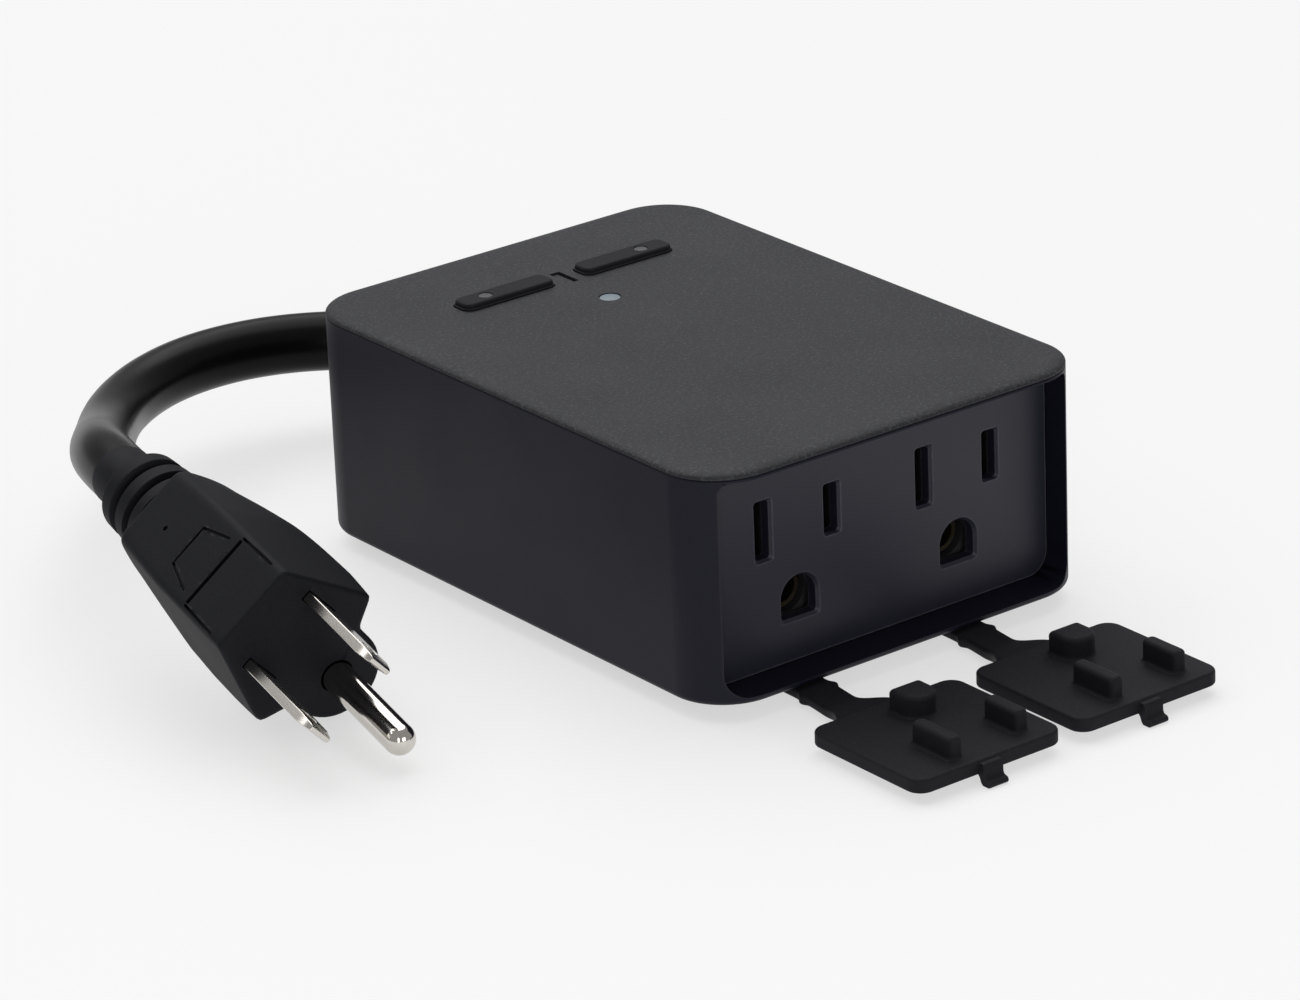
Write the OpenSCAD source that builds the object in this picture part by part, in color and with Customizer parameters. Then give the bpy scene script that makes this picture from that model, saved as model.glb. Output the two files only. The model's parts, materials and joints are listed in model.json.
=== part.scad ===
// Two-outlet outdoor smart plug box with rubber outlet covers, a short cord and a grounded plug.
// Origin: centre of the underside on the resting surface. Outlets face -Y, the cord leaves at +Y.

/* [Box] */
// Width of the box
body_w = 72; // [70:1:80]
// Depth of the box
body_d = 100; // [96:1:112]
// Height of the box above its standing pad
body_h = 36; // [35:1:42]
// Plan radius of the box corners
body_r = 9.5; // [7:0.5:10]
// Thickness of the side walls
wall = 2.4; // [2:0.1:3]
// Height of the textured top cover
cover_h = 2.6; // [2.4:0.1:3]
// Height of the standing pad under the box
pad_h = 2.5; // [2.4:0.1:3]

/* [Outlets] */
// Distance between the two outlet centres
outlet_pitch = 30; // [29:0.5:31]
// Depth of the recess in front of the socket panel
recess = 6.3; // [5.5:0.1:7]
// Thickness of the socket panel
panel_t = 2.2; // [2:0.1:2.6]
// Height of the blade slots' centre above the box's lower edge
slot_z = 22.8; // [22:0.1:24]

/* [Buttons] */
// Length of a button pad
button_l = 16.75; // [14:0.25:18]
// Width of a button pad
button_w = 4.2; // [4:0.1:5]
// Distance from the box's middle to a button's inner end
button_in = 3; // [2.5:0.1:4]
// Distance of the buttons behind the box's middle
button_y = 31; // [28:0.5:33]
// How far a button stands above the top
button_rise = 1; // [0.8:0.1:1.4]

/* [Outlet covers] */
// Thickness of a cover plate
plate_t = 2.2; // [1.8:0.1:2.4]
// Height of an open cover's underside above the surface
plate_z = 1.6; // [1.4:0.1:2]
// Height of the plug-shaped blocks on a cover
block_h = 3.4; // [3:0.1:3.8]

/* [Cord and plug] */
// Diameter of the cord
cord_d = 9.5; // [9:0.1:10]
// Length of the flat blades
blade_l = 17.8; // [16:0.1:18.2]
// Diameter of the ground pin
pin_d = 4.8; // [4.7:0.05:4.8]
// Length of the ground pin with its domed end
pin_l = 20.4; // [19:0.1:21]

/* [Hidden] */
$fn = 48;
side_fn = 32;                               // circles inside a hull
gap = 0.1;                                  // assembly gap between fixed parts
box_top = pad_h + body_h;
seam_z = box_top - cover_h;                 // where the top cover meets the housing
front_y = -body_d / 2;
panel_y = front_y + recess;                 // front face of the socket panel
panel_back = panel_y + panel_t;
inner_w = body_w - 2 * wall;
rear_in = body_d / 2 - wall;
slot_top = pad_h + slot_z;                  // blade slots' centre height
ground_z = slot_top - 11.9;                 // ground holes' centre height
blade_off = 6.35;                           // each blade slot from its outlet's centre
outlet_x = [-outlet_pitch / 2, outlet_pitch / 2];
mouth_half_w = 32.4;                        // front opening
mouth_low = pad_h + 1.1;
mouth_high = box_top - 1.9;
neutral_slot = [2.6, 9.0];
hot_slot = [2.6, 7.6];
ground_r = 3.2;
neutral_block = [1.9, 8.3];
hot_block = [1.9, 6.9];
plate_near = -63.6;                         // open cover's edge nearest the box
plate_far = -87.9;
plate_left = -15.3;                         // plate edges from the outlet's centre
plate_right = 11.7;
strap_x = -2.8;                             // strap's centre from the outlet's centre
strap_w = 7;
strap_t = 1.7;
strap_z = 0.4;                              // strap's underside in its channel
open_slot_y = -81.3;                        // blocks on an open cover
open_ground_y = -69.4;
pad_front = -43.6;
anchor_y = pad_front + 2.9;
anchor_r = 0.95;
board_z = 10;                               // power board's underside
board_t = 1.6;
control_z = 31.2;                           // control board's underside
button_x = [-button_in - button_l / 2, button_in + button_l / 2];
lens_x = [-14.9, 14.9];
sensor_y = 19.4;
cord_z = 15;                                // cord's height where it leaves the box
cord_x = 8;
gland_end = 54.5;
plug_at = [-82.15, -11.5, 16.35];           // middle of the plug's face, between the blades
plug_turn = [-136.9, 10.7, -96];
tail = 38;                                  // plug body's length behind its face
relief_l = 12;

// the cord's route from the box's gland to the plug's strain relief
route = [[8, 54.5, 15], [7.1, 63.4, 15], [3.7, 71.9, 15], [-1.6, 79.3, 15.1], [-8.6, 85.1, 15.3],
    [-16.8, 88.7, 15.6], [-25.6, 90.1, 15.8], [-34.5, 89.2, 15.9], [-42.9, 86.1, 15.9],
    [-50.4, 81, 16.1], [-56.5, 74.6, 16.9], [-61.8, 67.5, 18.4], [-66.8, 60.3, 20.6],
    [-71.5, 52.9, 22.9], [-75.2, 45, 24.7], [-77.4, 37.5, 25.2]];

// ---- shared shapes ----

// flat outline with rounded corners, centred
module round_rect(w, d, r) {
    square([w - 2 * r, d], center = true);
    square([w, d - 2 * r], center = true);
    for (x = [-1, 1], y = [-1, 1])
        translate([x * (w / 2 - r), y * (d / 2 - r)]) circle(r);
}

module slab(w, d, h, r) {
    linear_extrude(h) round_rect(w, d, r);
}

// upright tombstone outline of a ground hole: round above, flat below
module arch(r) {
    circle(r);
    translate([-r, -r]) square([2 * r, r]);
}

// extrude a flat X-Z outline towards +Y, starting at y
module along_y(y, l) {
    translate([0, y + l, 0]) rotate([90, 0, 0]) linear_extrude(l) children();
}

// place something in the plug's own frame: +X out of its face, +Y across the blades, +Z to the pin
module in_plug() {
    translate(plug_at) rotate(plug_turn) children();
}

// ---- sweeping a round tube along points ----

function unit(v) = v / norm(v);
function tangent(p, i) = unit(p[min(i + 1, len(p) - 1)] - p[max(i - 1, 0)]);
function side_of(t) = unit(cross(t, [0, 0, 1]));
function ring(c, t, r, n) =
    let(s = side_of(t), u = cross(s, t))
    [for (k = [0:n - 1]) c + r * (cos(360 * k / n) * s + sin(360 * k / n) * u)];

// smooth curve through the points, with m steps between each pair
function smooth(p, m) = [for (i = [0:len(p) - 2], k = [0:m - 1])
    let(t = k / m, a = p[max(i - 1, 0)], b = p[i], c = p[i + 1], d = p[min(i + 2, len(p) - 1)])
    0.5 * ((2 * b) + (c - a) * t + (2 * a - 5 * b + 4 * c - d) * t * t
        + (3 * b - a - 3 * c + d) * t * t * t), p[len(p) - 1]];

module tube(p, radii, n) {
    m = len(p);
    points = [for (i = [0:m - 1]) each ring(p[i], tangent(p, i), radii[i], n)];
    sides = [for (i = [0:m - 2], k = [0:n - 1])
        [i * n + k, i * n + (k + 1) % n, (i + 1) * n + (k + 1) % n, (i + 1) * n + k]];
    first = [for (k = [0:n - 1]) n - 1 - k];
    last = [for (k = [0:n - 1]) (m - 1) * n + k];
    polyhedron(points, concat(sides, [first], [last]));
}

module wire(p, d) {
    q = smooth(p, 3);
    tube(q, [for (i = q) d / 2], 8);
}

// ---- outside ----

// plan of the room inside: square at the front, round at the rear corners
module works_outline() {
    r = body_r - wall;
    translate([-inner_w / 2, panel_y]) square([inner_w, rear_in - r - panel_y]);
    translate([r - inner_w / 2, panel_y]) square([inner_w - 2 * r, rear_in - panel_y]);
    for (x = [-1, 1]) translate([x * (inner_w / 2 - r), rear_in - r]) circle(r);
}

module housing_shell() color([0.15, 0.15, 0.18]) difference() {
    translate([0, 0, pad_h]) slab(body_w, body_d, seam_z - pad_h, body_r);
    // room for the works, open above and below
    translate([0, 0, mouth_low]) linear_extrude(body_h) works_outline();
    translate([-inner_w / 2 + 4, panel_back + 2, 0]) cube([inner_w - 8, rear_in - panel_back - 5, body_h]);
    // front opening
    translate([0, 0, (mouth_low + mouth_high) / 2]) along_y(front_y - 1, recess + 1)
        round_rect(2 * mouth_half_w, mouth_high - mouth_low, 3.5);
    // gland hole through the rear wall
    translate([cord_x, rear_in - 1, cord_z]) rotate([-90, 0, 0]) cylinder(d = 14, h = wall + 2);
}

module top_cover() color([0.24, 0.25, 0.26]) difference() {
    union() {
        hull() for (x = [-1, 1], y = [-1, 1])
            translate([x * (body_w / 2 - body_r), y * (body_d / 2 - body_r), seam_z]) {
                cylinder(r = body_r, h = 0.2, $fn = side_fn);
                translate([0, 0, cover_h - 1.3]) cylinder(r = body_r - 0.7, h = 0.3, $fn = side_fn);
                cylinder(r = body_r - 2.5, h = cover_h, $fn = side_fn);
            }
        // locating lip inside the housing, behind the panel's seal
        translate([0, (panel_back + rear_in) / 2 + 0.6, seam_z - 1.4]) difference() {
            slab(inner_w - 0.6, rear_in - panel_back - 1.8, 1.5, body_r - wall);
            translate([0, 0, -1]) slab(inner_w - 4, rear_in - panel_back - 5.2, 4, body_r - wall - 1.7);
        }
    }
    // front opening's upper rim
    translate([0, 0, mouth_high - 20]) along_y(front_y - 1, recess + panel_t + 1.2)
        round_rect(2 * mouth_half_w, 40, 3.5);
    // one slot for each button
    for (x = button_x) translate([x, button_y, seam_z - 2])
        slab(button_l + 0.8, button_w + 0.8, cover_h + 3, 1.6);
    // sensor window and the small recess between the buttons
    translate([0, sensor_y, seam_z - 2]) cylinder(d = 3.4, h = cover_h + 3);
    translate([-0.9, button_y - 2.5, box_top - 0.7]) cube([1.8, 5, 2]);
}

module base_plate() color([0.12, 0.12, 0.14]) difference() {
    union() {
        slab(59, 2 * -pad_front, pad_h, 5);
        translate([0, (panel_back + rear_in) / 2 - 0.5, pad_h])
            slab(inner_w - 8.6, rear_in - panel_back - 5.6, 1.6, 2);
        for (x = [-24, 24], y = [-8, 36]) translate([x, y, pad_h]) cylinder(d = 7, h = board_z - pad_h);
    }
    // strap channels, each with a wider chamber for the anchor bar
    for (x = outlet_x) translate([x + strap_x, 0, 0]) {
        translate([-strap_w / 2 - 0.4, pad_front - 1, -1]) cube([strap_w + 0.8, 14, pad_h + 1]);
        translate([-7.4, pad_front + 1.5, -1]) cube([14.8, 9.6, pad_h + 1]);
    }
    // screw holes
    for (x = [-24, 24], y = [-8, 36]) translate([x, y, -1]) {
        cylinder(d = 2.6, h = board_z + 2);
        cylinder(d = 5.6, h = 3);
    }
}

module base_seal() color([0.05, 0.05, 0.05])
    translate([0, (panel_back + rear_in) / 2 - 0.5, mouth_low + 0.6]) difference() {
        slab(inner_w - 9.2, rear_in - panel_back - 6.2, 0.8, 2);
        translate([0, 0, -1]) slab(inner_w - 11.6, rear_in - panel_back - 8.6, 3, 1.2);
    }

module base_screws() color([0.6, 0.6, 0.62])
    for (x = [-24, 24], y = [-8, 36]) translate([x, y, 0.3]) difference() {
        union() {
            cylinder(d = 5.2, h = 1.6);
            cylinder(d = 2.4, h = 6);
        }
        translate([0, 0, -1]) cylinder(d = 2.4, h = 2, $fn = 6);
    }

module socket_panel() color([0.18, 0.18, 0.22]) difference() {
    union() {
        translate([0, 0, (mouth_low + mouth_high) / 2]) along_y(panel_y, panel_t)
            round_rect(2 * mouth_half_w - 0.2, mouth_high - mouth_low - 0.2, 3.4);
        // side tabs that catch behind the opening
        translate([-inner_w / 2 + 0.2, panel_y, mouth_low + 5]) cube([inner_w - 0.4, panel_t, 24]);
    }
    for (x = outlet_x) translate([x, 0, 0]) {
        slot_pair(neutral_slot, hot_slot, 2 * panel_t, panel_y - panel_t / 2);
        slot_pair(neutral_slot + [0.8, 0.8], hot_slot + [0.8, 0.8], 1.1, panel_y - 0.6);
        translate([0, 0, ground_z]) along_y(panel_y - 1, panel_t + 2) arch(ground_r);
        translate([0, 0, ground_z]) along_y(panel_y - 0.6, 1.1) arch(ground_r + 0.4);
    }
}

// the two blade openings of one outlet, l deep from y
module slot_pair(neutral, hot, l, y) {
    translate([-blade_off, 0, slot_top]) along_y(y, l) square(neutral, center = true);
    translate([blade_off, 0, slot_top]) along_y(y, l) square(hot, center = true);
}

module panel_seal() color([0.04, 0.04, 0.04])
    translate([0, 0, (mouth_low + mouth_high) / 2]) along_y(panel_back + gap, 0.9) difference() {
        round_rect(2 * mouth_half_w - 1.4, mouth_high - mouth_low - 1.4, 3.2);
        round_rect(2 * mouth_half_w - 5, mouth_high - mouth_low - 4, 2);
    }

// a pad that stands above the cover on a flange that keeps it in
module button(x) color([0.12, 0.12, 0.13]) translate([x, button_y, 0]) difference() {
    union() {
        translate([0, 0, seam_z]) slab(button_l, button_w, box_top + button_rise - seam_z, 1.2);
        translate([0, 0, seam_z - 2.1]) slab(button_l - 1, button_w - 0.6, 2.2, 1);
        translate([0, 0, seam_z - 1.3]) slab(button_l + 1.8, button_w + 1.8, 0.9, 1.2);
    }
    translate([lens_for(x) - x, 0, seam_z - 3]) cylinder(d = 2.2, h = cover_h + 5);
}
function lens_for(x) = x < 0 ? lens_x[0] : lens_x[1];
module left_button() button(button_x[0]);
module right_button() button(button_x[1]);

module indicator(x) color([0.42, 0.42, 0.43])
    translate([x, button_y, seam_z - 2.1]) cylinder(d = 2.2, h = box_top + button_rise - seam_z + 2.1);
module left_indicator() indicator(lens_x[0]);
module right_indicator() indicator(lens_x[1]);

// thin membrane frame that keeps water out round the buttons
module button_seal() color([0.06, 0.06, 0.06]) translate([0, button_y, seam_z - 2.9]) difference() {
    slab(46, 10, 0.7, 2);
    for (x = button_x) translate([x, 0, -1]) slab(button_l + 0.2, button_w + 0.2, 3, 1);
}

module sensor_window() color([0.6, 0.66, 0.7])
    translate([0, sensor_y, box_top - 2.4]) cylinder(d = 3.3, h = 2.3);

// plate with the three blocks that fill an outlet, and a pull tab at its far edge
module outlet_cover(x) color([0.13, 0.13, 0.14]) translate([x, 0, plate_z]) {
    w = plate_right - plate_left;
    l = plate_near - plate_far;
    top = plate_t - 0.01;
    translate([(plate_left + plate_right) / 2, (plate_near + plate_far) / 2, 0]) slab(w, l, plate_t, 2.5);
    translate([-blade_off, open_slot_y, top]) slab(neutral_block[0], neutral_block[1], block_h, 0.8);
    translate([blade_off, open_slot_y, top]) slab(hot_block[0], hot_block[1], block_h, 0.8);
    translate([0, open_ground_y, top]) linear_extrude(block_h) mirror([0, 1]) arch(ground_r - 0.5);
    // pull tab, with a small lip that rests on the surface
    translate([-4.2, plate_far - 1.3, -plate_z]) cube([3.4, 1.3, plate_z + plate_t - 0.4]);
    translate([-4.2, plate_far - 2.1, -plate_z]) cube([3.4, 1.2, 1]);
}
module left_cover() outlet_cover(outlet_x[0]);
module right_cover() outlet_cover(outlet_x[1]);

// flexible strap between the anchor bar and the cover plate, drawn as it lies open
module strap(x) color([0.11, 0.11, 0.12]) translate([x + strap_x - strap_w / 2, 0, 0])
    rotate([90, 0, 90]) linear_extrude(strap_w) polygon([
        [anchor_y - anchor_r, strap_z], [anchor_y - anchor_r, strap_z + strap_t],
        [front_y - 2, strap_z + strap_t], [plate_near + 0.05, plate_z + 0.2 + strap_t],
        [plate_near + 0.05, plate_z + 0.2], [front_y - 2, strap_z]]);
module left_strap() strap(outlet_x[0]);
module right_strap() strap(outlet_x[1]);

// moulded bar at the strap's root, held in the base plate's chamber
module anchor(x) color([0.1, 0.1, 0.1])
    translate([x + strap_x - 6.8, anchor_y, 1.25]) rotate([0, 90, 0]) cylinder(r = anchor_r, h = 13.6);
module left_anchor() anchor(outlet_x[0]);
module right_anchor() anchor(outlet_x[1]);

// ---- cord and plug ----

// bush gripped in the rear wall: flanges each side of it, and a bore for the three conductors
module cord_gland() color([0.07, 0.07, 0.07]) translate([cord_x, 0, cord_z]) rotate([-90, 0, 0])
    difference() {
        union() {
            translate([0, 0, rear_in - 2]) cylinder(d = 17, h = 1.9);
            translate([0, 0, rear_in - 0.5]) cylinder(d = 13.8, h = wall + 1);
            translate([0, 0, body_d / 2 + 0.1]) cylinder(d = 17, h = gland_end - body_d / 2 - 0.1);
        }
        translate([0, 0, rear_in - 3]) cylinder(d = 9, h = 7);
    }

// the cord's route in short steps; the tapered relief covers its first stretch
path = smooth(route, 4);
relief_n = 12;                              // steps of it that the relief covers
module cord_strain_relief() color([0.07, 0.07, 0.07])
    tube([for (i = [0:relief_n]) path[i]], [for (i = [0:relief_n]) 7.6 - 2.2 * i / relief_n], 16);

module cord() color([0.06, 0.06, 0.06])
    tube([for (i = [relief_n:len(path) - 1]) path[i]], [for (i = [relief_n:len(path) - 1]) cord_d / 2], 12);

module plug_body() color([0.14, 0.15, 0.16]) in_plug() difference() {
    union() {
        // grip: flat above, widest behind the face, narrow at the tail
        hull() {
            translate([-0.6, 0, 0]) face_slab(0.6, 12.3, 7, -9, 6);
            translate([-14, 0, 0]) face_slab(0.6, 12.3, 6, -8.8, 6.5);
            translate([-tail, 0, 0]) face_slab(0.6, 8.1, 5, -7.6, 7.4);
        }
        // rounded nose round the ground pin
        hull() {
            translate([-8, 0, 11.9]) rotate([0, 90, 0]) cylinder(r = 7, h = 8, $fn = side_fn);
            translate([-24, 0, 3.5]) rotate([0, 90, 0]) cylinder(r = 6, h = 2, $fn = side_fn);
        }
    }
    // sockets that hold the blades and the pin
    for (y = [-blade_off, blade_off]) translate([-8, y - 0.8, -3.2]) cube([9, 1.6, 6.4]);
    translate([-8, 0, 11.9]) rotate([0, 90, 0]) cylinder(d = pin_d - 0.9, h = 9);
    // shallow gripping groove across the flat side
    translate([-11.5, -5.6, -9.5]) cube([0.8, 11.2, 0.9]);
}

// thin plate across the plug, wide in the middle and narrow above, between heights low and high
module face_slab(t, half_w, top_half, low, high)
    rotate([90, 0, 90]) linear_extrude(t) polygon([
        [-top_half, low], [top_half, low], [half_w, low * 0.3], [half_w, high * 0.8], [half_w - 2, high],
        [2 - half_w, high], [-half_w, high * 0.8], [-half_w, low * 0.3]]);

// three rings between the plug's tail and the cord
module plug_strain_relief() color([0.1, 0.1, 0.1]) in_plug()
    translate([-tail, 0.6, 0]) rotate([0, -90, 0]) {
        cylinder(r = 5.4, h = relief_l);
        for (i = [0:2]) translate([0, 0, 1.2 + 3.7 * i]) cylinder(r = 7.2 - 0.35 * i, h = 2.4);
    }

module plug_blade(y) color([0.75, 0.73, 0.7]) in_plug() difference() {
    translate([-7.5, y - 0.75, -3.1]) cube([7.5 + blade_l, 1.5, 6.2]);
    translate([blade_l - 4, y, 0]) rotate([90, 0, 0]) cylinder(d = 3.2, h = 4, center = true);
    // bevelled tip
    for (s = [-1, 1]) translate([blade_l, y, s * 3.1]) rotate([0, 45, 0]) cube([1.7, 3, 1.7], center = true);
}
module plug_hot_blade() plug_blade(-blade_off);
module plug_neutral_blade() plug_blade(blade_off);

module plug_ground_pin() color([0.75, 0.73, 0.7]) in_plug()
    translate([-7.5, 0, 11.9]) rotate([0, 90, 0]) {
        cylinder(d = pin_d - 1, h = 8);
        translate([0, 0, 7.5]) cylinder(d = pin_d, h = pin_l - pin_d / 2);
        translate([0, 0, 7.5 + pin_l - pin_d / 2]) sphere(d = pin_d);
    }

// ---- inside ----

// moulded block behind the panel, with a pocket for each contact
carrier_y = panel_back + 1.2;
carrier_l = 17;
module receptacle_carrier() color([0.5, 0.5, 0.48]) difference() {
    translate([-28, carrier_y, 8]) cube([56, carrier_l, 24.5]);
    for (x = outlet_x) translate([x, 0, 0]) {
        slot_pair([4.6, 10.4], [4.6, 10.4], carrier_l + 2, carrier_y - 1);
        translate([0, 0, ground_z]) along_y(carrier_y - 1, carrier_l + 2) circle(3.6);
    }
}

// two spring leaves that pinch a blade, joined at the back
module leaf_pair() {
    for (s = [-1, 1]) translate([s * 1.35 - 0.25, carrier_y + 1, -4]) cube([0.5, carrier_l - 3, 8]);
    translate([-1.6, carrier_y + carrier_l - 2.5, -4]) cube([3.2, 0.6, 8]);
}
module contacts(side) color([0.72, 0.55, 0.3]) {
    for (x = outlet_x) translate([x + side * blade_off, 0, slot_top]) leaf_pair();
    for (x = outlet_x) translate([x + side * blade_off - 1, carrier_y + carrier_l - 2, slot_top - 2.5])
        cube([2, 4.4, 5]);
}
module hot_contacts() contacts(1);
module neutral_contacts() contacts(-1);

// split tubes that grip a ground pin, joined by a strap behind the carrier
module ground_contacts() color([0.72, 0.55, 0.3]) {
    for (x = outlet_x) translate([x, 0, ground_z]) difference() {
        along_y(carrier_y + 1, carrier_l) circle(3.1);
        along_y(carrier_y, carrier_l - 1) circle(2.45);
        translate([-0.25, carrier_y, 0]) cube([0.5, carrier_l - 3, 4]);
    }
    translate([-18, carrier_y + carrier_l + 0.8, ground_z - 2]) cube([36, 0.8, 4]);
}

board_y = [-17.5, 44];
module power_board() color([0.1, 0.35, 0.18]) difference() {
    translate([-31, board_y[0], board_z]) cube([62, board_y[1] - board_y[0], board_t]);
    for (x = [-24, 24], y = [-8, 36]) translate([x, y, board_z - 1]) cylinder(d = 2.8, h = 4);
}
part_z = board_z + board_t;

module board_screws() color([0.65, 0.65, 0.66])
    for (x = [-24, 24], y = [-8, 36]) translate([x, y, part_z]) {
        cylinder(d = 5, h = 1.4);
        translate([0, 0, -board_t - 2.5]) cylinder(d = 2.4, h = board_t + 3);
    }

module relay(x) color([0.15, 0.3, 0.6]) translate([x - 7.7, -2.8, part_z]) cube([15.4, 19, 15.2]);
module left_relay() relay(-10);
module right_relay() relay(10);

module transformer() color([0.85, 0.8, 0.35]) translate([-8, 27, part_z]) {
    translate([-8, -7, 0]) cube([16, 14, 3]);
    translate([-6, -6, 3]) cube([12, 12, 8.5]);
    translate([-8, -7, 11.5]) cube([16, 14, 3]);
}

module bulk_capacitor() color([0.15, 0.15, 0.35]) translate([9.5, 25.5, part_z]) cylinder(d = 10, h = 15);
module film_capacitor() color([0.85, 0.75, 0.2]) translate([20.5, -1.5, part_z]) cube([7, 17, 13]);
module fuse() color([0.8, 0.8, 0.75])
    translate([-27, -1, part_z + 2.6]) rotate([-90, 0, 0]) cylinder(d = 5, h = 16);
module varistor() color([0.2, 0.45, 0.7])
    translate([-28, 26.5, part_z + 5.6]) rotate([0, 90, 0]) cylinder(d = 11, h = 4);

module control_board() color([0.1, 0.3, 0.16])
    translate([-26, 13, control_z]) cube([52, 31, 1.2]);

module board_posts() color([0.8, 0.8, 0.78])
    for (x = [-22, 22], y = [19.5, 41.5]) translate([x, y, part_z]) cylinder(d = 4, h = control_z - part_z);

module board_header() color([0.08, 0.08, 0.08])
    translate([14.5, 38.5, part_z]) cube([5, 3, control_z - part_z]);

module tact(x) color([0.75, 0.75, 0.75]) translate([x - 2.6, button_y - 2.6, control_z + 1.2]) difference() {
    cube([5.2, 5.2, 0.6]);
    translate([2.6, 2.6, -1]) cylinder(d = 2.6, h = 3);
}
module left_switch() tact(button_x[0]);
module right_switch() tact(button_x[1]);

module plunger(x) color([0.9, 0.9, 0.88])
    translate([x, button_y, control_z + 1.9]) cylinder(d = 2, h = seam_z - 2.1 - control_z - 1.9);
module left_plunger() plunger(button_x[0]);
module right_plunger() plunger(button_x[1]);

module indicator_leds() color([0.9, 0.9, 0.8])
    for (x = lens_x) translate([x - 0.8, button_y - 0.8, control_z + 1.2]) cube([1.6, 1.6, 0.6]);

module light_sensor() color([0.2, 0.2, 0.25])
    translate([-1.5, sensor_y - 1.5, control_z + 1.2]) cube([3, 3, 0.9]);

module radio_module() color([0.7, 0.7, 0.72])
    translate([-8, 34, control_z - 2.6]) cube([16, 9, 2.5]);

wire_d = 2.6;
module hot_wire() color([0.05, 0.05, 0.05])
    wire([[cord_x + 2.4, 50, cord_z - 0.8], [cord_x + 2.4, 45, cord_z - 0.8],
        [cord_x + 3.6, 41.5, 13.7], [cord_x + 4.6, 38, 13.1]], wire_d);
module neutral_wire() color([0.9, 0.9, 0.9])
    wire([[cord_x - 2.4, 50, cord_z - 0.8], [cord_x - 2.4, 45, cord_z - 0.8],
        [cord_x - 7, 41.5, 13.7], [cord_x - 12, 39, 13.1]], wire_d);
module ground_wire() color([0.1, 0.5, 0.2])
    wire([[cord_x, 50, cord_z + 2.4], [cord_x, 44.5, cord_z + 2.4], [10, 39.5, 17], [13, 36, 16],
        [18, 33.5, 14.8], [28, 30, 14.8], [31, 20, 14.8], [31.4, -8, 14.6], [28, -18, 13.8],
        [19, -20.2, ground_z]], wire_d);

housing_shell();
top_cover();
base_plate();
base_seal();
base_screws();
socket_panel();
panel_seal();
left_button();
right_button();
left_indicator();
right_indicator();
button_seal();
sensor_window();
left_cover();
right_cover();
left_strap();
right_strap();
left_anchor();
right_anchor();
cord_gland();
cord_strain_relief();
cord();
plug_body();
plug_strain_relief();
plug_hot_blade();
plug_neutral_blade();
plug_ground_pin();
receptacle_carrier();
hot_contacts();
neutral_contacts();
ground_contacts();
power_board();
left_relay();
right_relay();
transformer();
bulk_capacitor();
film_capacitor();
fuse();
varistor();
control_board();
board_posts();
board_header();
left_switch();
right_switch();
left_plunger();
right_plunger();
indicator_leds();
light_sensor();
radio_module();
hot_wire();
neutral_wire();
ground_wire();
board_screws();
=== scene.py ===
# Outdoor two-outlet smart plug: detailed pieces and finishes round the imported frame.
import json
import math
import bpy
import numpy as np
from mathutils import Matrix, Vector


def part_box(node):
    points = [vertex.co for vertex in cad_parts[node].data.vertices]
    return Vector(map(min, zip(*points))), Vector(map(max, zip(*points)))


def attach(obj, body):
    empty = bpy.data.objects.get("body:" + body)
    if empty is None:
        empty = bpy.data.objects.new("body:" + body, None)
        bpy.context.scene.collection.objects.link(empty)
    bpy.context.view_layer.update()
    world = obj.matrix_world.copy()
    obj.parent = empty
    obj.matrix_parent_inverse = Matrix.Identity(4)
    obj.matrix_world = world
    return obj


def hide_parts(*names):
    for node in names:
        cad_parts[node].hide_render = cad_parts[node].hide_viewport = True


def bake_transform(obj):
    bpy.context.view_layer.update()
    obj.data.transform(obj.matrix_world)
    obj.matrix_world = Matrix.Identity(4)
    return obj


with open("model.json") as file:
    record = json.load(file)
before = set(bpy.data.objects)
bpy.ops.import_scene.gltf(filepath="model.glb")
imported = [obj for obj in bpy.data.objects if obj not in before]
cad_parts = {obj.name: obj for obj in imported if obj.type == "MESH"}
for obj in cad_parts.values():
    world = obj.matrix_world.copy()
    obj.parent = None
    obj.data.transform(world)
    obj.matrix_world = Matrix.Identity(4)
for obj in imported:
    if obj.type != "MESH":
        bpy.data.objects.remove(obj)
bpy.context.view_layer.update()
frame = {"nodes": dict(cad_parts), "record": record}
scene = bpy.context.scene
mm = 0.001
fullTurn = 2 * math.pi
quarterTurn = math.pi / 2
mounts = {mount["name"]: mount for mount in frame["record"]["mounts"]}


def boxOf(node):
    # lowest and highest corner of a frame node, in millimetres
    low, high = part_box(node)
    return np.array(low) / mm, np.array(high) / mm


# camera and cord

cameraSet = {
    "place": (-505.0, -661.5, 353.6),
    "turn": (67.621, 2.186, -37.787),
    "lens": 164.83,
    "sensor": 36.0,
}


def makeCamera():
    data = bpy.data.cameras.new("camera")
    data.lens = cameraSet["lens"]
    data.sensor_width = cameraSet["sensor"]
    data.clip_start = 0.01
    camera = bpy.data.objects.new("camera", data)
    camera.location = [value * mm for value in cameraSet["place"]]
    camera.rotation_euler = [math.radians(value) for value in cameraSet["turn"]]
    scene.collection.objects.link(camera)
    scene.camera = camera


makeCamera()

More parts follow.
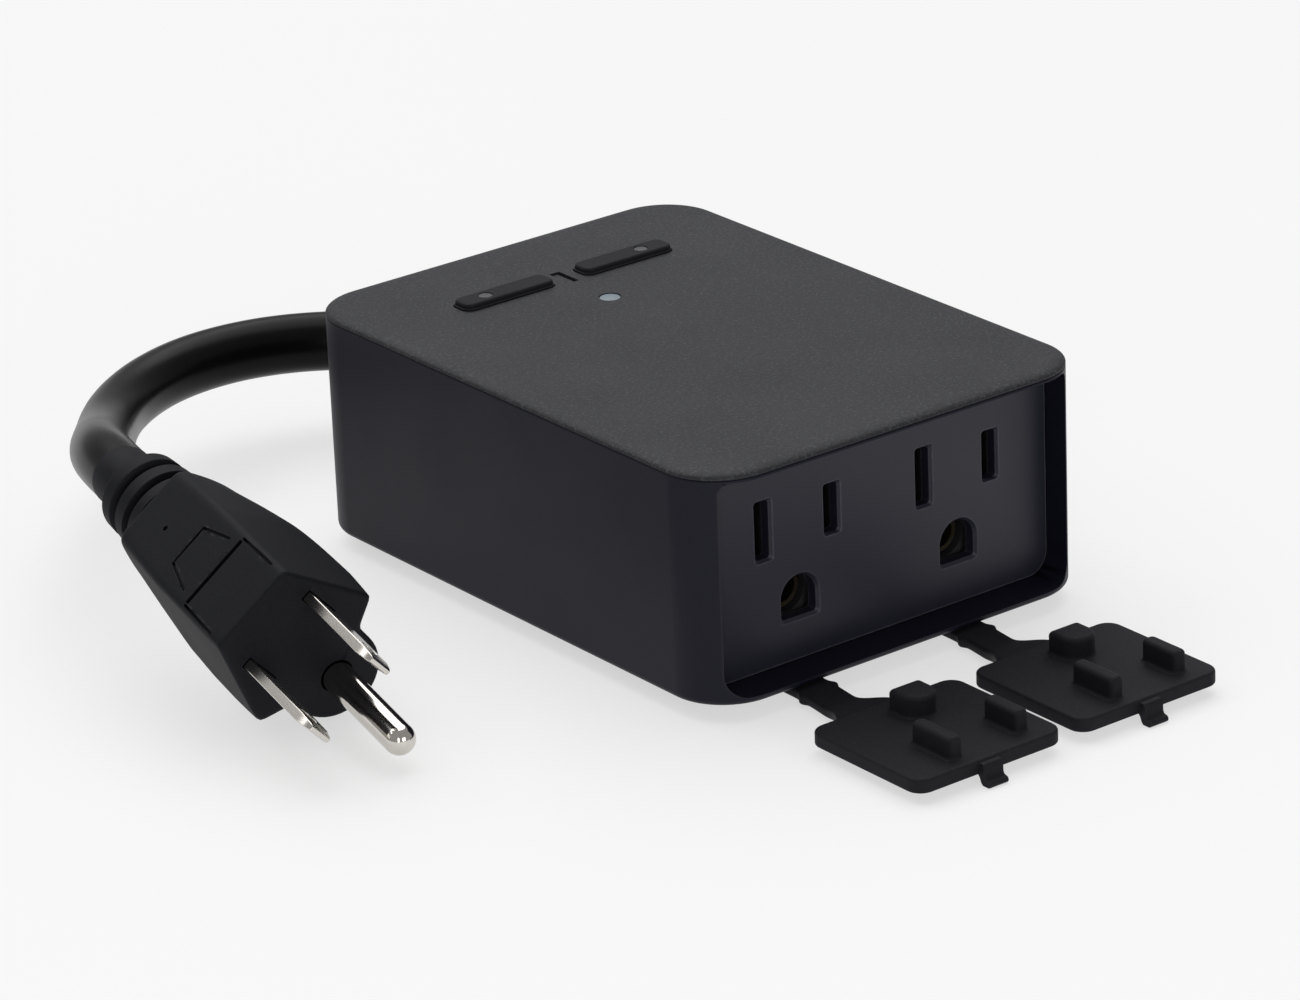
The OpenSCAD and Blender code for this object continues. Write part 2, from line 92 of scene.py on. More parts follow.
# the cord's route, in metres, as the part's source has it: these points were not chosen by hand,
# they are a least-squares solve's output, rounded
cordRoute = np.array([
    (0.008, 0.0545, 0.015), (0.0071, 0.0634, 0.015), (0.0037, 0.0719, 0.015),
    (-0.0016, 0.0793, 0.0151), (-0.0086, 0.0851, 0.0153), (-0.0168, 0.0887, 0.0156),
    (-0.0256, 0.0901, 0.0158), (-0.0345, 0.0892, 0.0159), (-0.0429, 0.0861, 0.0159),
    (-0.0504, 0.081, 0.0161), (-0.0565, 0.0746, 0.0169), (-0.0618, 0.0675, 0.0184),
    (-0.0668, 0.0603, 0.0206), (-0.0715, 0.0529, 0.0229), (-0.0752, 0.045, 0.0247),
    (-0.0774, 0.0375, 0.0252)])


# surfaces

def unit(vectors):
    return vectors / np.linalg.norm(vectors, axis=-1, keepdims=True)


def splineThrough(points, steps):
    # natural cubic spline: the second derivatives at the points solve one linear system,
    # so that the curve's bend has no jump
    count = len(points)
    system = np.eye(count)
    middle = np.arange(1, count - 1)
    system[middle, middle] = 4
    system[middle, middle - 1] = 1
    system[middle, middle + 1] = 1
    right = np.zeros_like(points)
    right[1:-1] = 6 * (points[2:] - 2 * points[1:-1] + points[:-2])
    bend = np.linalg.solve(system, right)
    t = np.linspace(0, 1, steps, endpoint=False)[None, :, None]
    a, b = points[:-1, None], points[1:, None]
    bendA, bendB = bend[:-1, None], bend[1:, None]
    curve = (a * (1 - t) + b * t
             + ((1 - t) ** 3 - (1 - t)) * bendA / 6 + (t ** 3 - t) * bendB / 6)
    return np.concatenate([curve.reshape(-1, 3), points[-1:]])


def roundedOutline(width, depth, radius, steps=8):
    # a rectangle with arc corners, anticlockwise: corner centre plus radius times (cos, sin);
    # one radius, or one for each corner
    radius = np.broadcast_to(radius, 4)[:, None]
    turns = quarterTurn * (np.arange(4)[:, None] + np.linspace(0, 1, steps + 1)[None, :])
    centreX = np.array([1, -1, -1, 1])[:, None] * (width / 2 - radius)
    centreY = np.array([1, 1, -1, -1])[:, None] * (depth / 2 - radius)
    outline = [centreX + radius * np.cos(turns), centreY + radius * np.sin(turns)]
    return np.stack(outline, -1).reshape(-1, 2)


def shrunkOutline(width, depth, radius, inset, steps=8):
    return roundedOutline(width - 2 * inset, depth - 2 * inset, max(radius - inset, 0.05), steps)


def archOutline(radius, steps=14):
    # tombstone: a half circle below, and two square corners above, a little rounded
    turns = np.linspace(math.pi, fullTurn, 2 * steps + 1)
    half = np.stack([radius * np.cos(turns), radius * np.sin(turns)], -1)
    soft = 0.16 * radius
    corner = np.linspace(0, quarterTurn, 5)
    first = np.stack([radius - soft + soft * np.cos(corner), radius - soft + soft * np.sin(corner)], -1)
    second = first[::-1] * (-1, 1)
    return np.concatenate([half, first, second])


def stack(outlines, heights):
    # flat outlines, each lifted to its height: rows of points (x, y, height)
    outlines = np.asarray(outlines, float)
    lift = np.broadcast_to(np.asarray(heights, float)[:, None, None], outlines.shape[:2] + (1,))
    return np.concatenate([outlines, lift], -1)


def lathe(profile, sides=48):
    # (radius, height) pairs turned about the Z axis
    profile = np.asarray(profile, float)
    turns = np.linspace(0, fullTurn, sides, endpoint=False)
    circle = np.stack([np.cos(turns), np.sin(turns)], -1)
    return stack(profile[:, 0, None, None] * circle[None], profile[:, 1])


def solidFrom(rings):
    # quads between neighbouring rings, and one flat face on each end
    rings = np.asarray(rings, float)
    rows, columns = rings.shape[:2]
    base = np.arange(rows - 1)[:, None] * columns
    here = base + np.arange(columns)[None, :]
    beside = base + (np.arange(columns)[None, :] + 1) % columns
    walls = np.stack([here, beside, beside + columns, here + columns], -1).reshape(-1, 4)
    last = (rows - 1) * columns
    ends = [list(range(columns - 1, -1, -1)), list(range(last, last + columns))]
    return rings.reshape(-1, 3), walls.tolist() + ends


def sweep(path, radii, sides, flatten=1.0):
    # a circle of each radius at each path point, square to the path; its side axis stays level
    along = unit(np.gradient(path, axis=0))
    side = unit(np.cross(along, (0, 0, 1)))
    up = np.cross(side, along)
    turns = np.linspace(0, fullTurn, sides, endpoint=False)
    across = side[:, None] * np.cos(turns)[None, :, None]
    upward = up[:, None] * np.sin(turns)[None, :, None] * flatten
    # anticlockwise about the direction of travel, so that the faces point outwards
    return (path[:, None] + np.asarray(radii)[:, None, None] * (across + upward))[:, ::-1]


def moved(rings, axes=None, at=(0, 0, 0)):
    # local x, y, z to the part's axes, given as three columns
    rings = np.asarray(rings, float)
    if axes is not None:
        rings = rings @ np.asarray(axes, float).T
    return rings + np.asarray(at, float)


# local x stays, local y becomes -Z, local z becomes +Y: for shapes that go into the front
intoFront = np.array([(1, 0, 0), (0, 0, -1), (0, 1, 0)]).T


def meshObject(name, *solids):
    points, faces, start = [], [], 0
    for solidPoints, solidFaces in solids:
        points.append(solidPoints)
        faces += [[start + index for index in face] for face in solidFaces]
        start += len(solidPoints)
    mesh = bpy.data.meshes.new(name)
    mesh.from_pydata(np.concatenate(points).tolist(), [], faces)
    mesh.update()
    piece = bpy.data.objects.new(name, mesh)
    scene.collection.objects.link(piece)
    return piece


def settle(piece):
    # the modifiers' result becomes the mesh
    ready = piece.evaluated_get(bpy.context.evaluated_depsgraph_get())
    shaped = bpy.data.meshes.new_from_object(ready)
    before = piece.data
    piece.modifiers.clear()
    piece.data = shaped
    bpy.data.meshes.remove(before)


def combine(piece, operation, solids):
    for solid in solids:
        tool = meshObject(piece.name + "Tool", solid)
        step = piece.modifiers.new("step", "BOOLEAN")
        step.operation = operation
        step.solver = "EXACT"
        step.object = tool
        settle(piece)
        bpy.data.objects.remove(tool)


def finish(piece, body, material, nodes, edge=0.0, angle=32, segments=3, holes=()):
    # soft edges, any holes that stay sharp, even normals, then millimetres to metres
    if edge:
        bevel = piece.modifiers.new("softEdges", "BEVEL")
        bevel.width = edge
        bevel.segments = segments
        bevel.limit_method = "ANGLE"
        bevel.angle_limit = math.radians(angle)
        bevel.miter_outer = "MITER_ARC"
        settle(piece)
    combine(piece, "DIFFERENCE", holes)
    piece.data.shade_smooth()
    piece.data.set_sharp_from_angle(angle=math.radians(50))
    even = piece.modifiers.new("evenNormals", "WEIGHTED_NORMAL")
    even.keep_sharp = True
    settle(piece)
    piece.data.transform(Matrix.Scale(mm, 4))
    piece.data.materials.clear()
    piece.data.materials.append(material)
    if body:
        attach(piece, body)
    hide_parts(*nodes)
    return piece


# shader groups

def newGroup(name, inputs, outputs):
    group = bpy.data.node_groups.new(name, "ShaderNodeTree")
    for label, kind, value in inputs:
        made = group.interface.new_socket(label, in_out="INPUT", socket_type="NodeSocket" + kind)
        made.default_value = value
    for label, kind in outputs:
        group.interface.new_socket(label, in_out="OUTPUT", socket_type="NodeSocket" + kind)
    entry = group.nodes.new("NodeGroupInput")
    result = group.nodes.new("NodeGroupOutput")
    return group, entry, result


def addNode(tree, kind, settings=None, **values):
    node = tree.nodes.new("ShaderNode" + kind)
    for key, value in (settings or {}).items():
        setattr(node, key, value)
    for label, value in values.items():
        node.inputs[label.replace("_", " ")].default_value = value
    return node


def feed(tree, socket, value):
    # a link when the value is another node's output, else a constant
    if hasattr(value, "links"):
        tree.links.new(value, socket)
    else:
        socket.default_value = value


def mathNode(tree, operation, first, second=None, clamp=False):
    node = tree.nodes.new("ShaderNodeMath")
    node.operation = operation
    node.use_clamp = clamp
    feed(tree, node.inputs[0], first)
    if second is not None:
        feed(tree, node.inputs[1], second)
    return node.outputs[0]


def mixColor(tree, factor, first, second, blend="MIX"):
    node = tree.nodes.new("ShaderNodeMix")
    node.data_type = "RGBA"
    node.blend_type = blend
    for number, value in ((0, factor), (6, first), (7, second)):
        feed(tree, node.inputs[number], value)
    return node.outputs[2]


def makeGrainGroup():
    # moulded surface: fine pits and sparks, slow blotches, and a height for the bump
    group, entry, result = newGroup(
        "mouldedGrain",
        [("Base", "Color", (0.02, 0.02, 0.02, 1)), ("Spark", "Color", (0.1, 0.1, 0.1, 1)),
         ("Scale", "Float", 3000.0), ("Spark Amount", "Float", 0.3),
         ("Blotch", "Float", 0.1), ("Roughness", "Float", 0.5), ("Spread", "Float", 0.1)],
        [("Color", "Color"), ("Roughness", "Float"), ("Height", "Float")])
    place = addNode(group, "TexCoord").outputs["Object"]
    fine = addNode(group, "TexNoise", Detail=3.0, Roughness=0.6)
    cells = addNode(group, "TexVoronoi")
    slow = addNode(group, "TexNoise", Scale=55.0, Detail=3.0)
    for node in (fine, cells, slow):
        group.links.new(place, node.inputs["Vector"])
    for node in (fine, cells):
        group.links.new(entry.outputs["Scale"], node.inputs["Scale"])
    spark = mathNode(group, "SUBTRACT", fine.outputs[0], 0.52, clamp=True)
    spark = mathNode(group, "MULTIPLY", spark, 5.0, clamp=True)
    spark = mathNode(group, "MULTIPLY", spark, entry.outputs["Spark Amount"])
    color = mixColor(group, spark, entry.outputs["Base"], entry.outputs["Spark"])
    swing = mathNode(group, "SUBTRACT", slow.outputs[0], 0.5)
    shade = mathNode(group, "MULTIPLY_ADD", swing, entry.outputs["Blotch"])
    shade.node.inputs[2].default_value = 1.0
    color = mixColor(group, 1.0, color, shade, "MULTIPLY")
    rough = mathNode(group, "MULTIPLY", swing, entry.outputs["Spread"])
    rough = mathNode(group, "ADD", rough, entry.outputs["Roughness"], clamp=True)
    pits = mathNode(group, "MULTIPLY", cells.outputs["Distance"], 0.5)
    height = mathNode(group, "ADD", fine.outputs[0], pits)
    group.links.new(color, result.inputs["Color"])
    group.links.new(rough, result.inputs["Roughness"])
    group.links.new(height, result.inputs["Height"])
    return group


def makeRubbedEdgeAndHighlightGroup():
    # rubbed edges, and on the socket panel a painted highlight along its edges and slot rims: one less the
    # agreement of the real normal with a rounded one, broken by noise
    group, entry, result = newGroup(
        "edgeWearAndPaintedHighlight", [("Radius", "Float", 0.0004), ("Amount", "Float", 0.5)], [("Mask", "Float")])
    soft = group.nodes.new("ShaderNodeBevel")
    soft.samples = 4
    group.links.new(entry.outputs["Radius"], soft.inputs["Radius"])
    geometry = group.nodes.new("ShaderNodeNewGeometry")
    agree = addNode(group, "VectorMath", {"operation": "DOT_PRODUCT"})
    group.links.new(soft.outputs[0], agree.inputs[0])
    group.links.new(geometry.outputs["Normal"], agree.inputs[1])
    away = mathNode(group, "SUBTRACT", 1.0, agree.outputs["Value"], clamp=True)
    noise = addNode(group, "TexNoise", Scale=900.0, Detail=4.0)
    group.links.new(addNode(group, "TexCoord").outputs["Object"], noise.inputs["Vector"])
    mask = mathNode(group, "MULTIPLY", away, noise.outputs[0])
    mask = mathNode(group, "MULTIPLY", mask, 6.0, clamp=True)
    mask = mathNode(group, "MULTIPLY", mask, entry.outputs["Amount"], clamp=True)
    group.links.new(mask, result.inputs["Mask"])
    return group


def makeDustGroup():
    # fine dust: sparse specks where the surface looks up
    group, entry, result = newGroup("fineDust", [("Amount", "Float", 0.2)], [("Mask", "Float")])
    geometry = group.nodes.new("ShaderNodeNewGeometry")
    parts = group.nodes.new("ShaderNodeSeparateXYZ")
    group.links.new(geometry.outputs["Normal"], parts.inputs[0])
    upward = mathNode(group, "POWER", mathNode(group, "MAXIMUM", parts.outputs["Z"], 0.0), 2.0)
    place = addNode(group, "TexCoord").outputs["Object"]
    specks = addNode(group, "TexNoise", Scale=2600.0, Detail=2.0)
    drift = addNode(group, "TexNoise", Scale=70.0, Detail=3.0)
    group.links.new(place, specks.inputs["Vector"])
    group.links.new(place, drift.inputs["Vector"])
    sparse = mathNode(group, "SUBTRACT", specks.outputs[0], 0.62, clamp=True)
    sparse = mathNode(group, "MULTIPLY", sparse, 8.0, clamp=True)
    mask = mathNode(group, "MULTIPLY", sparse, drift.outputs[0])
    mask = mathNode(group, "MULTIPLY", mask, upward)
    mask = mathNode(group, "MULTIPLY", mask, entry.outputs["Amount"], clamp=True)
    group.links.new(mask, result.inputs["Mask"])
    return group


def makeDrawnGroup():
    # lines left by drawing or extruding: noise stretched along V, which runs along the piece
    group, entry, result = newGroup(
        "drawnLines", [("Lines", "Float", 160.0), ("Length", "Float", 2.0)],
        [("Value", "Float")])
    place = addNode(group, "TexCoord").outputs["UV"]
    scale = group.nodes.new("ShaderNodeCombineXYZ")
    group.links.new(entry.outputs["Lines"], scale.inputs[0])
    group.links.new(entry.outputs["Length"], scale.inputs[1])
    spread = addNode(group, "VectorMath", {"operation": "MULTIPLY"})
    group.links.new(place, spread.inputs[0])
    group.links.new(scale.outputs[0], spread.inputs[1])
    noise = addNode(group, "TexNoise", Scale=1.0, Detail=3.0)
    group.links.new(spread.outputs[0], noise.inputs["Vector"])
    group.links.new(noise.outputs[0], result.inputs["Value"])
    return group


grainGroup = makeGrainGroup()
rubbedEdgeAndHighlightGroup = makeRubbedEdgeAndHighlightGroup()
dustGroup = makeDustGroup()
drawnGroup = makeDrawnGroup()


def groupNode(tree, group, **values):
    node = tree.nodes.new("ShaderNodeGroup")
    node.node_tree = group
    for label, value in values.items():
        node.inputs[label.replace("_", " ")].default_value = value
    return node


def mouldedMaterial(name, color, spark=(0.1, 0.1, 0.1), sparkAmount=0.2, scale=3000.0, blotch=0.15,
                    rough=0.5, spread=0.15, bump=0.2, depth=0.00002, metal=0.0, edge=0.25,
                    edgeWearAndHighlightColor=(0.09, 0.09, 0.1), dust=0.0, coat=0.0, sheen=0.0, lines=0.0,
                    specular=0.5, ior=1.5, passLight=0.0):
    # a moulded finish: grain, rubbed edges (on the socket panel a painted highlight) and a little dust, each
    # from its own group
    material = bpy.data.materials.new(name)
    material.use_nodes = True
    tree = material.node_tree
    shader = tree.nodes["Principled BSDF"]
    grain = groupNode(tree, grainGroup, Base=(*color, 1), Spark=(*spark, 1), Scale=scale,
                      Spark_Amount=sparkAmount, Blotch=blotch, Roughness=rough, Spread=spread)
    shown = grain.outputs["Color"]
    height = grain.outputs["Height"]
    if edge:
        wearAndHighlight = groupNode(tree, rubbedEdgeAndHighlightGroup, Amount=edge)
        # mixes in the edge colour: rubbed wear, and on the socket panel a painted highlight
        shown = mixColor(tree, wearAndHighlight.outputs["Mask"], shown, (*edgeWearAndHighlightColor, 1))
    if dust:
        specks = groupNode(tree, dustGroup, Amount=dust)
        shown = mixColor(tree, specks.outputs["Mask"], shown, (0.32, 0.31, 0.3, 1))
    if lines:
        drawn = groupNode(tree, drawnGroup)
        share = mathNode(tree, "MULTIPLY", drawn.outputs["Value"], lines)
        height = mathNode(tree, "ADD", height, share)
    bumps = tree.nodes.new("ShaderNodeBump")
    bumps.inputs["Strength"].default_value = bump
    bumps.inputs["Distance"].default_value = depth
    tree.links.new(height, bumps.inputs["Height"])
    tree.links.new(shown, shader.inputs["Base Color"])
    tree.links.new(grain.outputs["Roughness"], shader.inputs["Roughness"])
    tree.links.new(bumps.outputs["Normal"], shader.inputs["Normal"])
    for label, value in {
            "Metallic": metal, "Specular IOR Level": specular, "IOR": ior, "Coat Weight": coat,
            "Coat Roughness": 0.12, "Sheen Weight": sheen, "Sheen Roughness": 0.4,
            "Subsurface Weight": passLight, "Subsurface Radius": (0.002, 0.002, 0.002)}.items():
        shader.inputs[label].default_value = value
    return material


print("shader groups ready")

finishes = {
    "housing": dict(color=(0.0054, 0.0054, 0.0122), spark=(0.016, 0.016, 0.024),
                    scale=5200.0, rough=0.46, bump=0.25, depth=0.00001, edge=0.35,
                    edgeWearAndHighlightColor=(0.05, 0.05, 0.06), dust=0.03, specular=0.16),
    "top_texture": dict(color=(0.0118, 0.0121, 0.0162), spark=(0.062, 0.064, 0.074), sparkAmount=0.7,
                        scale=2100.0, rough=0.6, bump=1.0, depth=0.00006, edge=0.12, dust=0.08,
                        edgeWearAndHighlightColor=(0.07, 0.07, 0.075), blotch=0.2, specular=0.32),
    # pale edge colour laid on strongly: a painted highlight along the panel's edges and slot rims
    "panel": dict(color=(0.011, 0.011, 0.0205), spark=(0.024, 0.024, 0.034), sparkAmount=0.2,
                  scale=5200.0, rough=0.44, bump=0.2, depth=0.00001, edge=0.9,
                  edgeWearAndHighlightColor=(0.15, 0.15, 0.18), dust=0.03, specular=0.4),
    "rubber": dict(color=(0.0058, 0.0057, 0.0088), spark=(0.018, 0.018, 0.0225), sparkAmount=0.35,
                   scale=3600.0, rough=0.68, bump=0.45, depth=0.00002, edge=0.2,
                   edgeWearAndHighlightColor=(0.03, 0.03, 0.034), dust=0.1, sheen=0.02, specular=0.18),
    "cord_jacket": dict(color=(0.003, 0.003, 0.0035), spark=(0.008, 0.008, 0.008), sparkAmount=0.15,
                        scale=1800.0, rough=0.3, spread=0.2, bump=0.1, depth=0.00002, edge=0.0,
                        dust=0.03, lines=1.2, specular=0.5, ior=1.2),
    "plug_moulding": dict(color=(0.0038, 0.004, 0.0062), spark=(0.016, 0.017, 0.021), sparkAmount=0.3,
                          scale=3400.0, rough=0.62, bump=0.35, depth=0.00002, edge=0.3,
                          edgeWearAndHighlightColor=(0.03, 0.031, 0.036), dust=0.05, specular=0.15),
    "nickel": dict(color=(0.62, 0.59, 0.55), spark=(0.78, 0.76, 0.72), scale=900.0, blotch=0.25,
                   rough=0.2, spread=0.2, bump=0.1, depth=0.00002, metal=1.0, edge=0.4,
                   edgeWearAndHighlightColor=(0.9, 0.89, 0.86), lines=1.5),
    "lens": dict(color=(0.062, 0.062, 0.066), spark=(0.1, 0.1, 0.1), scale=4000.0, rough=0.45, edge=0.1,
                 passLight=0.1, specular=0.3),
    "sensor_lens": dict(color=(0.19, 0.235, 0.27), spark=(0.3, 0.34, 0.37), scale=3000.0, rough=0.35,
                        edge=0.0, passLight=0.2, specular=0.3),
    "brass": dict(color=(0.11, 0.09, 0.062), spark=(0.22, 0.19, 0.13), scale=1200.0, rough=0.42,
                  metal=1.0, blotch=0.5, edgeWearAndHighlightColor=(0.62, 0.5, 0.3)),
    "carrier": dict(color=(0.012, 0.012, 0.014), spark=(0.04, 0.04, 0.04), scale=1500.0, rough=0.6,
                    blotch=0.3),
    "board": dict(color=(0.01, 0.075, 0.03), spark=(0.03, 0.16, 0.07), sparkAmount=0.5, scale=420.0,
                  rough=0.35, coat=0.3, edgeWearAndHighlightColor=(0.3, 0.26, 0.14)),
    "relay_case": dict(color=(0.008, 0.03, 0.2), spark=(0.02, 0.06, 0.3), scale=2500.0, rough=0.4,
                       edgeWearAndHighlightColor=(0.1, 0.16, 0.4)),
    "coil_tape": dict(color=(0.6, 0.42, 0.04), spark=(0.75, 0.6, 0.14), scale=600.0, rough=0.45,
                      edgeWearAndHighlightColor=(0.4, 0.3, 0.08)),
    "capacitor_sleeve": dict(color=(0.008, 0.008, 0.05), spark=(0.03, 0.03, 0.1), scale=1400.0,
                             rough=0.25, coat=0.4),
    "film_case": dict(color=(0.55, 0.36, 0.03), spark=(0.65, 0.5, 0.1), scale=1600.0, rough=0.5,
                      edgeWearAndHighlightColor=(0.7, 0.56, 0.2)),
    "fuse_body": dict(color=(0.62, 0.6, 0.53), spark=(0.8, 0.78, 0.7), scale=1500.0, rough=0.3,
                      edgeWearAndHighlightColor=(0.8, 0.8, 0.75)),
    "varistor_coat": dict(color=(0.02, 0.09, 0.28), spark=(0.05, 0.16, 0.4), scale=800.0, rough=0.5,
                          bump=0.5, edgeWearAndHighlightColor=(0.2, 0.3, 0.5)),
    "steel": dict(color=(0.5, 0.5, 0.52), spark=(0.7, 0.7, 0.72), scale=900.0, rough=0.3, metal=1.0,
                  blotch=0.4, edgeWearAndHighlightColor=(0.8, 0.8, 0.8)),
    "nylon": dict(color=(0.7, 0.69, 0.63), spark=(0.8, 0.8, 0.76), scale=1500.0, rough=0.5,
                  edgeWearAndHighlightColor=(0.85, 0.85, 0.8), passLight=0.1),
    "black_part": dict(color=(0.015, 0.015, 0.016), spark=(0.05, 0.05, 0.05), scale=2500.0, rough=0.45),
    "led": dict(color=(0.75, 0.74, 0.6), spark=(0.9, 0.9, 0.8), scale=2500.0, rough=0.2, coat=0.5),
    "hot_insulation": dict(color=(0.01, 0.01, 0.01), spark=(0.05, 0.05, 0.05), scale=1800.0, rough=0.35),
    "neutral_insulation": dict(color=(0.7, 0.7, 0.68), spark=(0.8, 0.8, 0.78), scale=1800.0, rough=0.35,
                               edgeWearAndHighlightColor=(0.8, 0.8, 0.8)),
    "ground_insulation": dict(color=(0.01, 0.14, 0.035), spark=(0.03, 0.24, 0.08), scale=1800.0,
                              rough=0.35, edgeWearAndHighlightColor=(0.1, 0.3, 0.14)),
}
materials = {slot: mouldedMaterial(slot, **values) for slot, values in finishes.items()}
materials["polished_pin"] = mouldedMaterial(
    "polished_pin", **{**finishes["nickel"], "rough": 0.1, "spread": 0.1, "bump": 0.05, "lines": 0.6})
materials["gland_rubber"] = mouldedMaterial(
    "gland_rubber", **{**finishes["rubber"], "rough": 0.6, "scale": 2600.0})
print("materials ready:", len(materials))


# box

shellLow, shellHigh = boxOf("housing_shell")
coverLow, coverHigh = boxOf("top_cover")
panelLow, panelHigh = boxOf("socket_panel")
glandLow, glandHigh = boxOf("cord_gland")
boxWidth = shellHigh[0] - shellLow[0]
boxDepth = shellHigh[1] - shellLow[1]
panelFront = panelLow[1]
exitX = (glandLow[0] + glandHigh[0]) / 2
exitZ = (glandLow[2] + glandHigh[2]) / 2

boxShape = {
    "cornerRadius": 9.5,
    "wall": 2.4,
    "floorFillet": 1.1,
    "glandHole": 7.0,
    "floorLedge": 4.0, "floorShort": 19.0, "floorBack": 1.9,       # opening in the floor
    "seamEdge": 0.3,
    "mouthHalf": 32.8,      # front opening's half-width at the front, and at the panel
    "mouthHalfIn": 32.2,
    "mouthLow": 1.1,        # above the housing's lower edge
    "mouthHigh": 1.6,       # below the top
    "mouthCorners": (3.6, 3.6, 1.8, 1.8),       # two lower corners, two upper corners
    "seamDrop": 1.15,       # joint line below the top
    "rimEdge": 0.28,
}
coverShape = {"fillet": 2.6, "lowerEdge": 0.22, "slotGap": 0.3, "slotEdge": 0.18, "roof": 1.8,
              "hollowSides": 12.0, "hollowEnds": 22.0, "hollowBack": 2.0, "sensorHole": 1.72}
seamZ = coverHigh[2] - boxShape["seamDrop"]
mouthBottom = shellLow[2] + boxShape["mouthLow"]
mouthTop = coverHigh[2] - boxShape["mouthHigh"]


def boxOutline(inset):
    return shrunkOutline(boxWidth, boxDepth, boxShape["cornerRadius"], inset, 14)


def mouthCutter(toY):
    # a rounded rectangle that narrows a little from the front towards the panel
    depths = np.array([shellLow[1] - 1, toY])
    middle = (mouthBottom + mouthTop) / 2
    rows = [roundedOutline(2 * half, mouthTop - mouthBottom, boxShape["mouthCorners"], 10)
            for half in (boxShape["mouthHalf"], boxShape["mouthHalfIn"])]
    return solidFrom(moved(stack(rows, depths), intoFront, (0, 0, middle)))


def cavityCutter(low, high):
    # plan of the room inside: square at the front, arcs at the rear corners
    half = boxWidth / 2 - boxShape["wall"]
    rear = boxDepth / 2 - boxShape["wall"]
    radius = boxShape["cornerRadius"] - boxShape["wall"]
    turns = np.linspace(0, quarterTurn, 13)
    right = np.stack([half - radius + radius * np.cos(turns), rear - radius + radius * np.sin(turns)], -1)
    left = right[::-1] * (-1, 1)
    plan = np.concatenate([right, left, [(-half, panelFront), (half, panelFront)]])
    return solidFrom(stack([plan, plan], (low, high)))


def fillet(radius, steps=6):
    # quarter circle as (inset, rise): inset falls from radius to nought as it rises
    turns = np.linspace(0, quarterTurn, steps + 1)
    return radius * (1 - np.sin(turns)), radius * (1 - np.cos(turns))


def makeHousing():
    lowInset, lowRise = fillet(boxShape["floorFillet"])
    topInset, topRise = fillet(boxShape["seamEdge"], 4)
    heights = np.concatenate([shellLow[2] + lowRise, seamZ - topRise[::-1]])
    insets = np.concatenate([lowInset, topInset[::-1]])
    piece = meshObject("housingShell", solidFrom(stack([boxOutline(inset) for inset in insets], heights)))
    glandHole = boxShape["glandHole"]
    hole = lathe([(glandHole, -4.0), (glandHole, 6.0)], 64)
    hole = moved(hole, intoFront, (exitX, shellHigh[1], exitZ))
    margin = boxShape["wall"] + boxShape["floorLedge"]
    floorPlan = roundedOutline(boxWidth - 2 * margin, boxDepth - boxShape["floorShort"], 2.0, 4)
    floorPlan = floorPlan + (0, boxShape["floorBack"])
    combine(piece, "DIFFERENCE", [
        cavityCutter(mouthBottom, coverHigh[2] + 1),
        solidFrom(stack([floorPlan, floorPlan], (0, mouthBottom + 1))),
        mouthCutter(panelFront + 0.5)])
    finish(piece, "housing", materials["housing"], ["housing_shell"], boxShape["rimEdge"],
           holes=[solidFrom(hole)])


def buttonBoxes():
    return [boxOf(side + "_button") for side in ("left", "right")]


buttonShape = {"length": 16.75, "width": 4.2, "radius": 1.35, "flange": 0.18, "fillet": 0.45}
sensorLow, sensorHigh = boxOf("sensor_window")


def makeTopCover():
    under, rise = fillet(coverShape["lowerEdge"], 4)
    turns = np.linspace(0, quarterTurn, 11)
    seam = coverLow[2]
    body = coverHigh[2] - seamZ - coverShape["lowerEdge"]
    inside = boxShape["wall"] + 0.15
    insets = np.concatenate([[inside, inside], under, coverShape["fillet"] * (1 - np.cos(turns[1:]))])
    heights = np.concatenate([[seam, seamZ], seamZ + rise,
                              coverHigh[2] - body * (1 - np.sin(turns[1:]))])
    piece = meshObject("topCover", solidFrom(stack([boxOutline(inset) for inset in insets], heights)))
    roofPlan = roundedOutline(boxWidth - coverShape["hollowSides"], boxDepth - coverShape["hollowEnds"], 5, 6)
    roofPlan = roofPlan + (0, coverShape["hollowBack"])
    tools = [mouthCutter(panelHigh[1] + 1.2),
             solidFrom(stack([roofPlan, roofPlan], (seam - 2, coverHigh[2] - coverShape["roof"])))]
    for low, high in buttonBoxes():
        middle = (low + high) / 2
        slot = roundedOutline(buttonShape["length"] + 2 * coverShape["slotGap"],
                              buttonShape["width"] + 2 * coverShape["slotGap"], 1.6) + middle[:2]
        tools.append(solidFrom(stack([slot, slot], (seam - 3, coverHigh[2] + 3))))
    sensorAt = (sensorLow + sensorHigh) / 2
    sensorHole = coverShape["sensorHole"]
    hole = lathe([(sensorHole, seam - 3), (sensorHole, coverHigh[2] + 3)], 40)
    tools.append(solidFrom(moved(hole, at=(sensorAt[0], sensorAt[1], 0))))
    leftLow, leftHigh = boxOf("left_button")
    buttonY = leftLow[1] / 2 + leftHigh[1] / 2
    notch = roundedOutline(1.9, 5.2, 0.25, 3) + (0, buttonY)
    tools.append(solidFrom(stack([notch, notch], (coverHigh[2] - 0.75, coverHigh[2] + 1))))
    combine(piece, "DIFFERENCE", tools)
    # raised bar in the small recess between the buttons
    bar = roundedOutline(1.15, 4.4, 0.2, 3) + (-0.1, buttonY + 0.1)
    combine(piece, "UNION", [solidFrom(stack([bar, bar], (coverHigh[2] - 1.2, coverHigh[2] - 0.3)))])
    finish(piece, "housing", materials["top_texture"], ["top_cover"],
           coverShape["slotEdge"])


